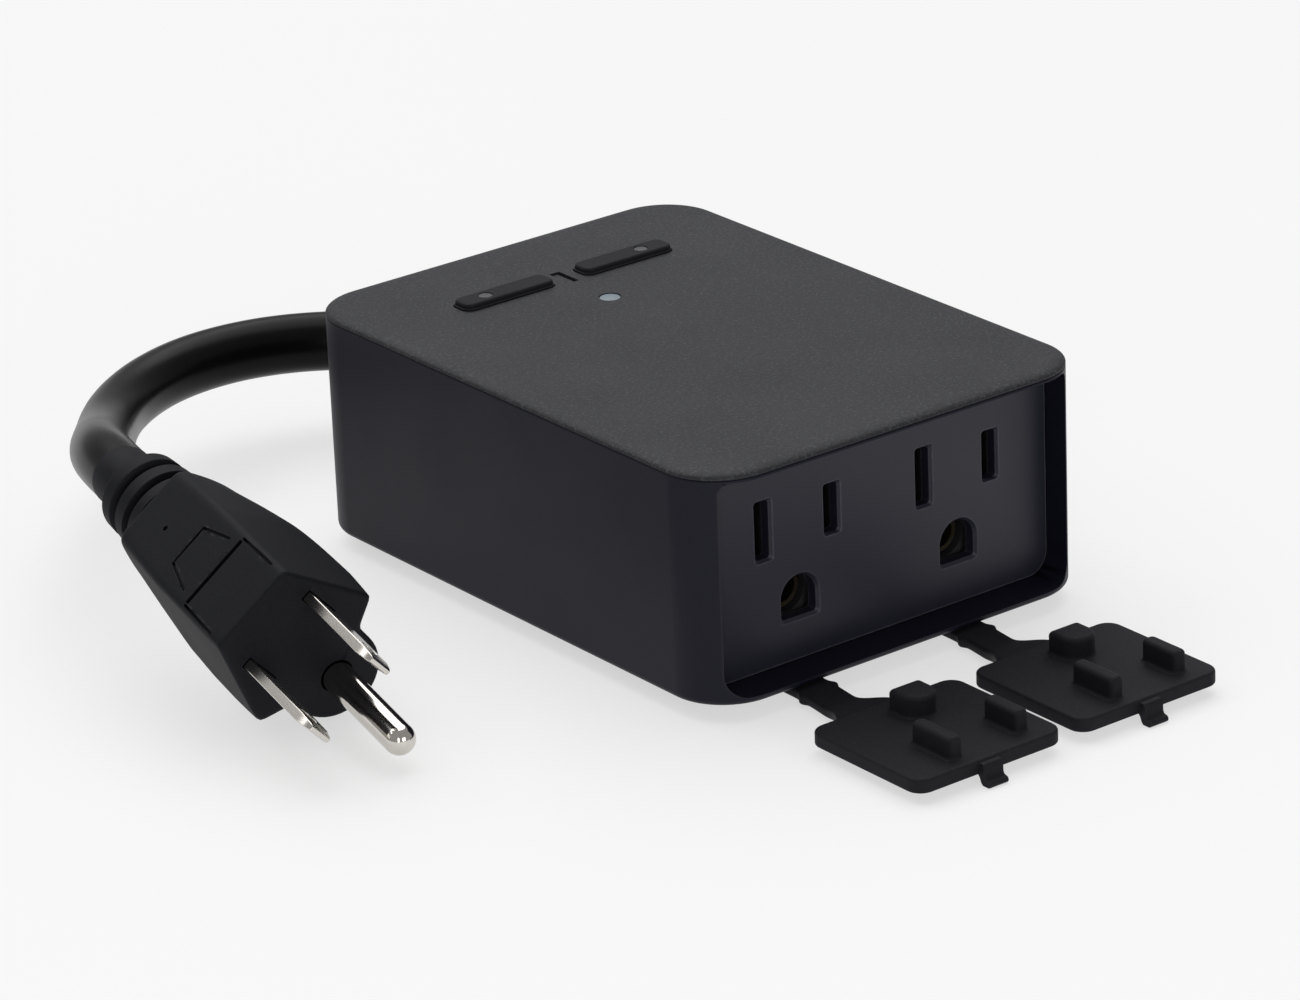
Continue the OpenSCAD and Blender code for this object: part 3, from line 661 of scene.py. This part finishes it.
def makeButton(side):
    low, high = boxOf(side + "_button")
    middle = (low + high) / 2
    length, width, radius = (buttonShape[key] for key in ("length", "width", "radius"))
    top = high[2]
    roof = coverHigh[2]
    softInset, softRise = fillet(buttonShape["fillet"], 5)
    flange = buttonShape["flange"]
    insets = [0.5, 0.5, -0.9, -0.9, 0.05, 0.05, -flange * 0.4, -flange, -flange, 0.0, 0.0]
    heights = [low[2], low[2] + 0.75, low[2] + 0.8, low[2] + 1.7, low[2] + 1.72, roof - 0.05,
               roof + 0.02, roof + 0.06, roof + 0.2, roof + 0.27, top - buttonShape["fillet"]]
    insets = np.concatenate([insets, softInset[::-1][1:], [buttonShape["fillet"] + 0.8]])
    heights = np.concatenate([heights, top - softRise[::-1][1:], [top]])
    rows = [shrunkOutline(length, width, radius, inset) + middle[:2] for inset in insets]
    piece = meshObject(side + "ButtonPad", solidFrom(stack(rows, heights)))
    lensLow, lensHigh = boxOf(side + "_indicator")
    lensAt = (lensLow + lensHigh) / 2
    hole = lathe([(1.12, low[2] - 2), (1.12, top + 2)], 32)
    combine(piece, "DIFFERENCE", [solidFrom(moved(hole, at=(lensAt[0], lensAt[1], 0)))])
    finish(piece, side + "_button", materials["rubber"], [side + "_button"], 0.06, 60)
    dome = [(1.08, lensLow[2]), (1.08, top - 0.14), (1.0, top - 0.09), (0.7, top - 0.06), (0.02, top - 0.04)]
    lens = meshObject(side + "IndicatorLens",
                      solidFrom(moved(lathe(dome, 40), at=(lensAt[0], lensAt[1], 0))))
    finish(lens, side + "_button", materials["lens"], [side + "_indicator"])


def makeSensor():
    middle = (sensorLow + sensorHigh) / 2
    top = coverHigh[2]
    dome = [(1.65, sensorLow[2]), (1.65, top - 0.22), (1.6, top - 0.14), (1.45, top - 0.09),
            (0.8, top - 0.04), (0.02, top - 0.02)]
    piece = meshObject("sensorLens", solidFrom(moved(lathe(dome, 48), at=(middle[0], middle[1], 0))))
    finish(piece, "housing", materials["sensor_lens"], ["sensor_window"])


outletShape = {
    "bladeOff": 6.35,
    "groundDrop": 11.9,
    "neutralMouth": (3.4, 9.75), "neutralIn": (2.6, 9.0),
    "hotMouth": (3.3, 8.2), "hotIn": (2.6, 7.6),
    "groundMouth": 3.65, "groundIn": 3.2,
    "funnel": 0.5,
}
outlets = [np.array(mounts[side + "_outlet"]["pos_m"]) / mm for side in ("left", "right")]


def makePanel():
    thick = panelHigh[1] - panelFront
    width = 2 * boxShape["mouthHalfIn"] - 0.25
    height = mouthTop - mouthBottom - 0.25
    middle = (mouthBottom + mouthTop) / 2
    plan = roundedOutline(width, height, np.array(boxShape["mouthCorners"]) - 0.1, 10)
    piece = meshObject("socketPanel", solidFrom(
        moved(stack([plan, plan], (panelFront, panelFront + thick)), intoFront, (0, 0, middle))))
    rowsY = (panelFront - 0.5, panelFront, panelFront + outletShape["funnel"], panelHigh[1] + 1)
    tools = []
    for outlet in outlets:
        for side, kind in ((-1, "neutral"), (1, "hot")):
            mouth, inner = outletShape[kind + "Mouth"], outletShape[kind + "In"]
            rows = [roundedOutline(*size, 0.5, 4) for size in (mouth, mouth, inner, inner)]
            at = (outlet[0] + side * outletShape["bladeOff"], 0, outlet[2])
            tools.append(solidFrom(moved(stack(rows, rowsY), intoFront, at)))
        radii = (outletShape["groundMouth"],) * 2 + (outletShape["groundIn"],) * 2
        rows = [archOutline(radius) for radius in radii]
        at = (outlet[0], 0, outlet[2] - outletShape["groundDrop"])
        tools.append(solidFrom(moved(stack(rows, rowsY), intoFront, at)))
    combine(piece, "DIFFERENCE", tools)
    finish(piece, "housing", materials["panel"], ["socket_panel"], 0.14)


makeHousing()
makeTopCover()
for side in ("left", "right"):
    makeButton(side)
makeSensor()
makePanel()
print("box ready")


# outlet covers and straps

rubberShape = {
    "corner": 2.5, "edge": 0.45, "plateZ": (1.6, 3.8), "farEdge": -87.9,
    "neutralBlock": (2.45, 8.8), "hotBlock": (2.45, 7.45), "groundBlock": 2.85,
    "blockHeight": 3.4, "blockEdge": 0.75, "rootFlare": 0.5,
    "neutralY": -81.3, "groundY": -69.4,
    "tabLeft": -4.2, "tabWidth": 3.4,
}
strapShape = {"start": -40.6, "width": 5.9, "thick": 1.7, "rootShift": -2.6, "plateShift": -4.0,
              "ear": 1.2, "earLong": 0.8, "earY": -50.8, "fan": 5.4, "fanLong": 3.9, "fanY": -64.4,
              "riseFrom": -56.0, "riseTo": -63.5, "bendFrom": -48.5, "bendTo": -62.2,
              "end": -64.6, "corner": 0.6, "shiftFrom": -47.0, "shiftLong": 16.0,
              "lowZ": 1.25, "rise": 1.4}


def blockSolid(outlineAt, at, top, height):
    # flares out where it grows from the plate, stands straight, and rounds over at the top
    flare, edge = rubberShape["rootFlare"], rubberShape["blockEdge"]
    turns = np.linspace(0, quarterTurn, 6)
    insets = np.concatenate([[-flare], -flare * (1 - np.sin(turns)), edge * (1 - np.cos(turns))])
    heights = np.concatenate([[top - 0.5], top + flare * (1 - np.cos(turns)),
                              top + height - edge * (1 - np.sin(turns))])
    rows = [outlineAt(inset) + at for inset in insets]
    return solidFrom(stack(rows, heights))


def makeCover(side, outlet):
    low, high = boxOf(side + "_cover")
    near, far = high[1], rubberShape["farEdge"]
    plateLow, plateHigh = rubberShape["plateZ"]
    centre = np.array([(low[0] + high[0]) / 2, (near + far) / 2])
    width, depth = high[0] - low[0], near - far
    underInset, underRise = fillet(rubberShape["edge"] * 0.7, 4)
    overInset, overRise = fillet(rubberShape["edge"], 5)
    insets = np.concatenate([underInset, overInset[::-1]])
    heights = np.concatenate([plateLow + underRise, plateHigh - overRise[::-1]])
    rows = [shrunkOutline(width, depth, rubberShape["corner"], inset) + centre for inset in insets]
    piece = meshObject(side + "OutletCover", solidFrom(stack(rows, heights)))
    blocks = []
    for sign, key in ((-1, "neutralBlock"), (1, "hotBlock")):
        wide, deep = rubberShape[key]
        blocks.append(blockSolid(lambda inset: shrunkOutline(wide, deep, 0.95, inset, 6),
                                 (outlet[0] + sign * outletShape["bladeOff"], rubberShape["neutralY"]),
                                 plateHigh, rubberShape["blockHeight"]))
    blocks.append(blockSolid(lambda inset: archOutline(rubberShape["groundBlock"] - inset, 10),
                             (outlet[0], rubberShape["groundY"]), plateHigh, rubberShape["blockHeight"]))
    # pull tab: down from the far edge, with a rounded lip that turns outwards at the foot
    turns = np.linspace(-quarterTurn, quarterTurn, 7)
    lip = np.stack([far - 1.75 - 0.5 * np.cos(turns), 0.55 + 0.5 * np.sin(turns)], -1)
    tab = np.concatenate([[(far + 0.6, 1.7), (far + 0.1, 1.2), (far - 0.25, 0.4), (far - 0.6, 0.05)], lip,
                          [(far - 1.35, 1.15), (far - 1.15, 1.5), (far - 1.1, 2.7), (far - 0.7, 3.3),
                           (far + 0.6, 3.5)]])
    tabX = outlet[0] + rubberShape["tabLeft"] + np.array([0, rubberShape["tabWidth"]])
    rings = np.stack([np.concatenate([np.full((len(tab), 1), x), tab], -1) for x in tabX])
    blocks.append(solidFrom(rings[:, ::-1]))
    combine(piece, "UNION", blocks)
    finish(piece, side + "_cover", materials["rubber"], [side + "_cover"], 0.16, 45)


def smoothShare(share):
    # eases from nought to one without a corner at either end
    share = np.clip(share, 0, 1)
    return share * share * (3 - 2 * share)


def makeStrap(side, outlet):
    # a flat ribbon along a rising path; its width swells into ears by the box and into the plate
    y = np.linspace(strapShape["start"], strapShape["end"], 64)
    ease = smoothShare((strapShape["shiftFrom"] - y) / strapShape["shiftLong"])
    x = outlet[0] + strapShape["rootShift"] + (strapShape["plateShift"] - strapShape["rootShift"]) * ease
    rising = (strapShape["riseFrom"] - y) / (strapShape["riseFrom"] - strapShape["riseTo"])
    z = strapShape["lowZ"] + strapShape["rise"] * smoothShare(rising)
    swell = strapShape["ear"] * np.exp(-((y - strapShape["earY"]) / strapShape["earLong"]) ** 2)
    fan = strapShape["fan"] * np.exp(-((y - strapShape["fanY"]) / strapShape["fanLong"]) ** 2)
    width = strapShape["width"] + swell + fan
    # one outline for every row: its two halves move apart as the width grows, and it leans with
    # the path's slope
    outline = roundedOutline(strapShape["width"], strapShape["thick"], strapShape["corner"], 5)
    across = outline[:, 0] + np.sign(outline[:, 0]) * (width[:, None] - strapShape["width"]) / 2
    lean = -np.gradient(z, y)[:, None] * outline[:, 1]
    rows = np.stack([x[:, None] + across, y[:, None] + lean, z[:, None] + outline[:, 1]], -1)
    piece = meshObject(side + "Strap", solidFrom(rows))
    finish(piece, None, materials["rubber"], [side + "_strap"])
    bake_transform(piece)


for side, outlet in zip(("left", "right"), outlets):
    makeCover(side, outlet)
    makeStrap(side, outlet)
print("covers ready")


# plug

face = np.array(mounts["plug_blades"]["pos_m"]) / mm
outward = unit(np.array(mounts["plug_blades"]["axis"]))
toPin = np.array(mounts["ground_pin"]["pos_m"]) / mm - face
toPin = unit(toPin - outward * (toPin @ outward))
plugAxes = np.stack([outward, np.cross(toPin, outward), toPin], -1)

plugShape = {
    "tail": 33.8,
    # behind the face: half-width, half-width of the flat side, how far the flat side, the crown
    # and the wings' tips lie from the axis, and how sharp the corners are
    "behind": (0, 7, 13, 20, 27, 31, 33.8),
    "halfWidth": (12.2, 13.2, 13.1, 12.2, 10.6, 9.6, 9.1),
    "flatHalf": (7.1, 7.1, 7.1, 7.1, 6.9, 6.8, 6.7),
    "flat": (9.0, 9.0, 8.95, 8.7, 8.1, 7.7, 7.5),
    "crown": (9.2, 9.2, 9.0, 8.5, 7.9, 7.5, 7.3),
    "wing": (6.8, 6.8, 6.6, 6.2, 5.6, 5.4, 5.2),
    "sharp": (34, 34, 34, 30, 22, 16, 14),
    "noseHalf": 7.15, "noseCentre": 11.9, "noseStraight": 8.0, "noseEnd": 25.0,
    "faceEdge": 0.7,
    "bladeOff": 6.35, "bladeThick": 1.5, "bladeWide": 6.2, "bladeLong": 17.8,
    "pinRadius": 2.4, "pinLong": 20.4, "rootLong": 7.5,
}


def alongPlug(key, behind):
    # value at a distance behind the face, read between the listed ones
    return np.interp(behind, plugShape["behind"], plugShape[key])


def plugOutline(behind, inset, columns=144):
    # radius in each direction: a soft minimum over the flat sides of the grip, then a soft
    # maximum with the U-shaped nose that runs round the ground pin
    turns = np.linspace(0, fullTurn, columns, endpoint=False)
    ray = np.stack([np.cos(turns), np.sin(turns)])
    half, flat, crown = (alongPlug(key, behind) - inset for key in ("halfWidth", "flat", "crown"))
    # flanks slope from the edge of the flat side out to the wings' tips, and from there to the crown
    low = np.array([0.95, -0.313])
    high = np.array([0.458, 0.889])
    lowReach = low @ (alongPlug("flatHalf", behind) - inset, -flat)
    highReach = high @ (half, alongPlug("wing", behind) - inset)
    sides = [((1, 0), half), ((-1, 0), half), ((0, -1), flat), ((0, 1), crown),
             (low, lowReach), (low * (-1, 1), lowReach), (high, highReach), (high * (-1, 1), highReach)]
    sharp = alongPlug("sharp", behind)
    total = sum((np.maximum(np.asarray(normal) @ ray, 0) / reach) ** sharp for normal, reach in sides)
    grip = total ** (-1 / sharp)
    share = np.clip((behind - plugShape["noseStraight"])
                    / (plugShape["noseEnd"] - plugShape["noseStraight"]), 0, 1)
    centre = plugShape["noseCentre"] * (1 - share) + 1.5 * share
    reach = (plugShape["noseHalf"] - 0.9 * share) - inset
    upward = np.maximum(ray[1], 1e-6)
    level = np.maximum(np.abs(ray[0]), 1e-6)
    arc = centre * upward + np.sqrt(np.maximum(reach ** 2 - (centre * ray[0]) ** 2, 0))
    straight = reach / level
    nose = np.where(straight * upward < centre, straight, arc)
    nose = np.where(ray[1] > 0.02, nose, 0.1)
    return ((grip ** 14 + nose ** 14) ** (1 / 14))[:, None] * ray.T


def inPlug(rings):
    return moved(rings, plugAxes, face)


def crossRows(behinds, outlines):
    # outlines lie across the plug: local x is minus the distance behind the face
    rows = np.asarray(outlines)
    depth = np.broadcast_to(-np.asarray(behinds, float)[:, None, None], rows.shape[:2] + (1,))
    return np.concatenate([depth, rows], -1)


def grooveSolid(first, second, wide=0.5, deep=0.45):
    # a bar sunk in the flat side between two (behind, across) points
    ends = np.array([first, second], float)
    run = unit(ends[1] - ends[0])
    side = np.array([-run[1], run[0]]) * wide / 2
    corners = np.array([ends[0] - side, ends[1] - side, ends[1] + side, ends[0] + side])
    bottom = -alongPlug("flat", corners[:, 0])
    low = np.stack([-corners[:, 0], corners[:, 1], bottom - 2], -1)
    high = np.stack([-corners[:, 0], corners[:, 1], bottom + deep], -1)
    rings = np.stack([low, high])
    return rings[:, ::-1]


def outwardSolid(rings):
    # turns a solid the right way out if its rings ran clockwise
    points, faces = solidFrom(rings)
    first, last = rings[0].mean(0), rings[-1].mean(0)
    step = np.cross(rings[0][1] - rings[0][0], rings[0][2] - rings[0][1])
    turn = np.cross(rings[0] - first, np.roll(rings[0], -1, 0) - first).sum(0)
    if turn @ (last - first) < 0:
        faces = [one[::-1] for one in faces]
    return points, faces


def makePlugBody():
    edgeInset, edgeRise = fillet(plugShape["faceEdge"], 5)
    behinds = np.concatenate([edgeRise, np.linspace(1.4, plugShape["tail"] - 1.6, 40),
                              plugShape["tail"] - np.array([1.1, 0.7, 0.35, 0.12, 0])])
    insets = np.zeros_like(behinds)
    insets[:len(edgeInset)] = edgeInset
    insets[-5:] = (0.0, 0.05, 0.2, 0.45, 0.8)
    rows = [plugOutline(behind, inset) for behind, inset in zip(behinds, insets)]
    piece = meshObject("plugBody", outwardSolid(inPlug(crossRows(behinds, rows))))
    tools = []
    for sign in (-1, 1):
        slot = roundedOutline(plugShape["bladeThick"] + 0.35, plugShape["bladeWide"] + 0.35, 0.2, 2)
        slot = slot + (sign * plugShape["bladeOff"], 0)
        tools.append(outwardSolid(inPlug(crossRows((-1, 1.6), [slot, slot]))))
        tools.append(outwardSolid(inPlug(grooveSolid((11.5, sign * 6.3), (3.2, sign * 6.5), 0.45, 0.75))))
        tools.append(outwardSolid(inPlug(grooveSolid((13.4, sign * 4.9), (19.4, sign * 3.3)))))
    turns = np.linspace(0, fullTurn, 40, endpoint=False)
    circle = np.stack([np.cos(turns), np.sin(turns)], -1)
    well = circle * (plugShape["pinRadius"] + 0.25) + (0, plugShape["noseCentre"])
    tools.append(outwardSolid(inPlug(crossRows((-1, 1.6), [well, well]))))
    tools.append(outwardSolid(inPlug(grooveSolid((11.3, -5.9), (11.3, 5.9), 0.8, 0.7))))
    tools.append(outwardSolid(inPlug(grooveSolid((19.4, -3.5), (19.4, 3.5)))))
    dot = stack([circle * 0.45 + (-26.2, 0.7), circle * 0.45 + (-26.2, 0.7)], (-12, -7.6))
    tools.append(outwardSolid(inPlug(dot)))
    combine(piece, "DIFFERENCE", tools)
    finish(piece, "housing", materials["plug_moulding"], ["plug_body"], 0.12, 42)


def makeBlade(name, sign, node):
    # flat strip whose tip is bevelled on all four sides
    thick, wide, long = (plugShape[key] for key in ("bladeThick", "bladeWide", "bladeLong"))
    behinds = (plugShape["rootLong"], -(long - 2.6), -(long - 0.5), -long)
    sizes = ((thick, wide), (thick, wide), (thick * 0.66, wide * 0.74), (thick * 0.4, wide * 0.68))
    rows = [roundedOutline(*size, 0.12, 2) + (sign * plugShape["bladeOff"], 0) for size in sizes]
    piece = meshObject(name, outwardSolid(inPlug(crossRows(behinds, rows))))
    turns = np.linspace(0, fullTurn, 32, endpoint=False)
    circle = np.stack([1.6 * np.cos(turns) + long - 4, 1.6 * np.sin(turns)], -1)
    rings = stack([circle, circle], (sign * plugShape["bladeOff"] - 2, sign * plugShape["bladeOff"] + 2))
    hole = rings[..., [0, 2, 1]]
    combine(piece, "DIFFERENCE", [outwardSolid(inPlug(hole))])
    finish(piece, "housing", materials["nickel"], [node], 0.1, 35, 2)
    return piece


def makePin():
    radius, long = plugShape["pinRadius"], plugShape["pinLong"]
    turns = np.linspace(0, quarterTurn * 0.985, 12)
    tip = np.stack([radius * np.cos(turns), long - radius + radius * np.sin(turns)], -1)
    profile = np.concatenate([[(radius, -plugShape["rootLong"]), (radius, long - radius)], tip[1:]])
    rings = lathe(profile, 48)[..., [2, 0, 1]] + (0, 0, plugShape["noseCentre"])
    piece = meshObject("groundPin", outwardSolid(inPlug(rings)))
    finish(piece, "housing", materials["polished_pin"], ["plug_ground_pin"])
    return piece


makePlugBody()
bladeHot = makeBlade("hotBlade", -1, "plug_hot_blade")
bladeNeutral = makeBlade("neutralBlade", 1, "plug_neutral_blade")
groundPin = makePin()
print("plug ready")


# cord, strain reliefs and gland

cordShape = {"diameter": 9.5, "sides": 40, "steps": 10,
             "reliefLong": 27.0, "reliefWide": 7.6, "reliefEnd": 5.5}


def tubeUv(piece, rings, columns):
    # U goes round the cord, V along it, in multiples of the way round
    mesh = piece.data
    layer = mesh.uv_layers.new(name="along")
    loops = np.empty(len(mesh.loops), int)
    mesh.loops.foreach_get("vertex_index", loops)
    values = np.stack([(loops % columns) / columns, (loops // columns) / rings], -1)
    layer.data.foreach_set("uv", values.astype(np.float32).ravel())


cordPath = splineThrough(cordRoute / mm, cordShape["steps"])


def makeCord():
    radii = np.full(len(cordPath), cordShape["diameter"] / 2)
    rings = sweep(cordPath, radii, cordShape["sides"])
    piece = meshObject("cordJacket", outwardSolid(rings))
    tubeUv(piece, len(cordPath), cordShape["sides"])
    return finish(piece, "housing", materials["cord_jacket"], ["cord"])


def makeRelief():
    # tapered boot: its radius falls along the cord, with shallow bending grooves
    steps = np.linalg.norm(np.diff(cordPath, axis=0), axis=1)
    gone = np.concatenate([[0], np.cumsum(steps)])
    at = np.linspace(0, cordShape["reliefLong"], 130)
    path = np.stack([np.interp(at, gone, cordPath[:, axis]) for axis in range(3)], -1)
    share = at / cordShape["reliefLong"]
    radii = cordShape["reliefWide"] + (cordShape["reliefEnd"] - cordShape["reliefWide"]) * share
    wave = np.clip(np.cos(at * fullTurn / 3.4) * 1.6, -1, 1)
    inGrooves = (at > 3) & (at < 24.5)
    radii = radii - np.where(inGrooves, 0.35 * (1 - wave) * (1 - 0.4 * share), 0)
    radii[-6:] -= np.array([0, 0.03, 0.1, 0.22, 0.4, 0.62])
    piece = meshObject("strainRelief", outwardSolid(sweep(path, radii, 48)))
    return finish(piece, "housing", materials["gland_rubber"], ["cord_strain_relief"])


def makeGland():
    # flange outside the wall with a rounded rim, a waist in the wall and a flange inside
    wallIn = shellHigh[1] - boxShape["wall"]
    outer = glandHigh[1]
    profile = [(4.6, glandLow[1]), (8.1, glandLow[1]), (8.4, glandLow[1] + 0.3), (8.4, wallIn - 0.2),
               (6.9, wallIn - 0.1), (6.9, shellHigh[1] + 0.05), (8.3, shellHigh[1] + 0.1),
               (8.5, shellHigh[1] + 0.3), (8.5, outer - 1.2), (8.35, outer - 0.7), (8.0, outer - 0.25),
               (7.5, outer), (4.6, outer)]
    piece = meshObject("cordGland", outwardSolid(
        moved(lathe(profile, 64), intoFront, (exitX, 0, exitZ))))
    return finish(piece, "housing", materials["gland_rubber"], ["cord_gland"])


ringShape = {"count": 3, "pitch": 3.9, "core": 5.6, "first": 7.5, "fall": 0.28}


def makePlugRelief():
    # three soft rings on a narrower core, then a plain sleeve, along a curve from the tail to the cord
    start = face - outward * (plugShape["tail"] - 0.8)
    end = cordPath[-1]
    leave = cordPath[-2] - cordPath[-1]
    leave = leave / np.linalg.norm(leave)
    t = np.linspace(0, 1, 220)[:, None]
    reach = np.linalg.norm(end - start)
    path = ((2 * t ** 3 - 3 * t ** 2 + 1) * start + (t ** 3 - 2 * t ** 2 + t) * (-outward * reach)
            + (3 * t ** 2 - 2 * t ** 3) * end + (t ** 3 - t ** 2) * (leave * reach))
    gone = np.concatenate([[0], np.cumsum(np.linalg.norm(np.diff(path, axis=0), axis=1))])
    turn = gone / ringShape["pitch"]
    bead = np.clip((0.5 - 0.5 * np.cos(fullTurn * turn)) * 2.8 - 0.2, 0, 1) ** 0.6
    core = np.where(turn < ringShape["count"], ringShape["core"], cordShape["diameter"] / 2 + 0.12)
    ring = ringShape["first"] - ringShape["fall"] * turn
    radii = np.where(turn < ringShape["count"], core + (ring - core) * bead, core)
    piece = meshObject("plugStrainRelief", outwardSolid(sweep(path, radii, 56, 0.97)))
    return finish(piece, "housing", materials["plug_moulding"], ["plug_strain_relief"])


cord = makeCord()
strainRelief = makeRelief()
makeGland()
plugRelief = makePlugRelief()


# frame nodes that stay

slotOf = {part["node"]: part["material_slot"] for part in frame["record"]["subparts"]}
for name, node in frame["nodes"].items():
    material = materials[slotOf[name]]
    node.data.materials.clear()
    node.data.materials.append(material)
print("frame nodes finished:", len(frame["nodes"]))


# floor and light

stageSet = {"reach": 6.0, "floor": (0.32, 0.32, 0.32), "glow": 0.6, "world": 0.36}
sunSet = {"turn": (-24, 12, 0), "spread": 70, "power": 1.95}
lights = {
    "corner": {"place": (-0.8, -0.9, 0.3), "size": (0.15, 0.6), "power": 1.6, "aim": (-0.03, -0.05, 0.02)},
    "front": {"place": (-0.1, -1.3, 0.35), "size": (0.5, 0.5), "power": 2.8, "aim": (-0.03, -0.04, 0.02)},
    "strip": {"place": (-0.5, 0.55, 0.75), "size": (0.9, 0.12), "power": 1.0, "aim": (-0.04, 0.05, 0.02)},
}


def makeStage():
    reach = stageSet["reach"]
    mesh = bpy.data.meshes.new("floor")
    corners = [(-reach, -reach, 0), (reach, -reach, 0), (reach, reach, 0), (-reach, reach, 0)]
    mesh.from_pydata(corners, [], [(0, 1, 2, 3)])
    floor = bpy.data.objects.new("floor", mesh)
    scene.collection.objects.link(floor)
    paper = bpy.data.materials.new("paper")
    paper.use_nodes = True
    shader = paper.node_tree.nodes["Principled BSDF"]
    shader.inputs["Base Color"].default_value = (*stageSet["floor"], 1)
    shader.inputs["Roughness"].default_value = 0.9
    shader.inputs["Specular IOR Level"].default_value = 0.1
    # the paper is lit from below as well, so that shadows stay pale
    shader.inputs["Emission Color"].default_value = (1, 1, 1, 1)
    shader.inputs["Emission Strength"].default_value = stageSet["glow"]
    floor.data.materials.append(paper)
    world = bpy.data.worlds.new("studio")
    world.use_nodes = True
    world.node_tree.nodes["Background"].inputs["Color"].default_value = (1, 1, 1, 1)
    world.node_tree.nodes["Background"].inputs["Strength"].default_value = stageSet["world"]
    scene.world = world
    sky = bpy.data.lights.new("softSky", "SUN")
    sky.energy = sunSet["power"]
    sky.angle = math.radians(sunSet["spread"])
    ceiling = bpy.data.objects.new("softSky", sky)
    ceiling.rotation_euler = [math.radians(value) for value in sunSet["turn"]]
    scene.collection.objects.link(ceiling)
    for name, values in lights.items():
        data = bpy.data.lights.new(name, "AREA")
        data.shape = "RECTANGLE"
        data.size, data.size_y = values["size"]
        data.energy = values["power"]
        lamp = bpy.data.objects.new(name, data)
        place = np.array(values["place"])
        toward = unit(np.array(values["aim"]) - place)
        side = unit(np.cross(toward, (0, 0, 1)))
        turn = np.stack([side, np.cross(side, toward), -toward], -1)
        lamp.matrix_world = Matrix.Translation(place) @ Matrix(turn.tolist()).to_4x4()
        scene.collection.objects.link(lamp)


makeStage()
scene.view_settings.view_transform = "Standard"
print("stage ready")
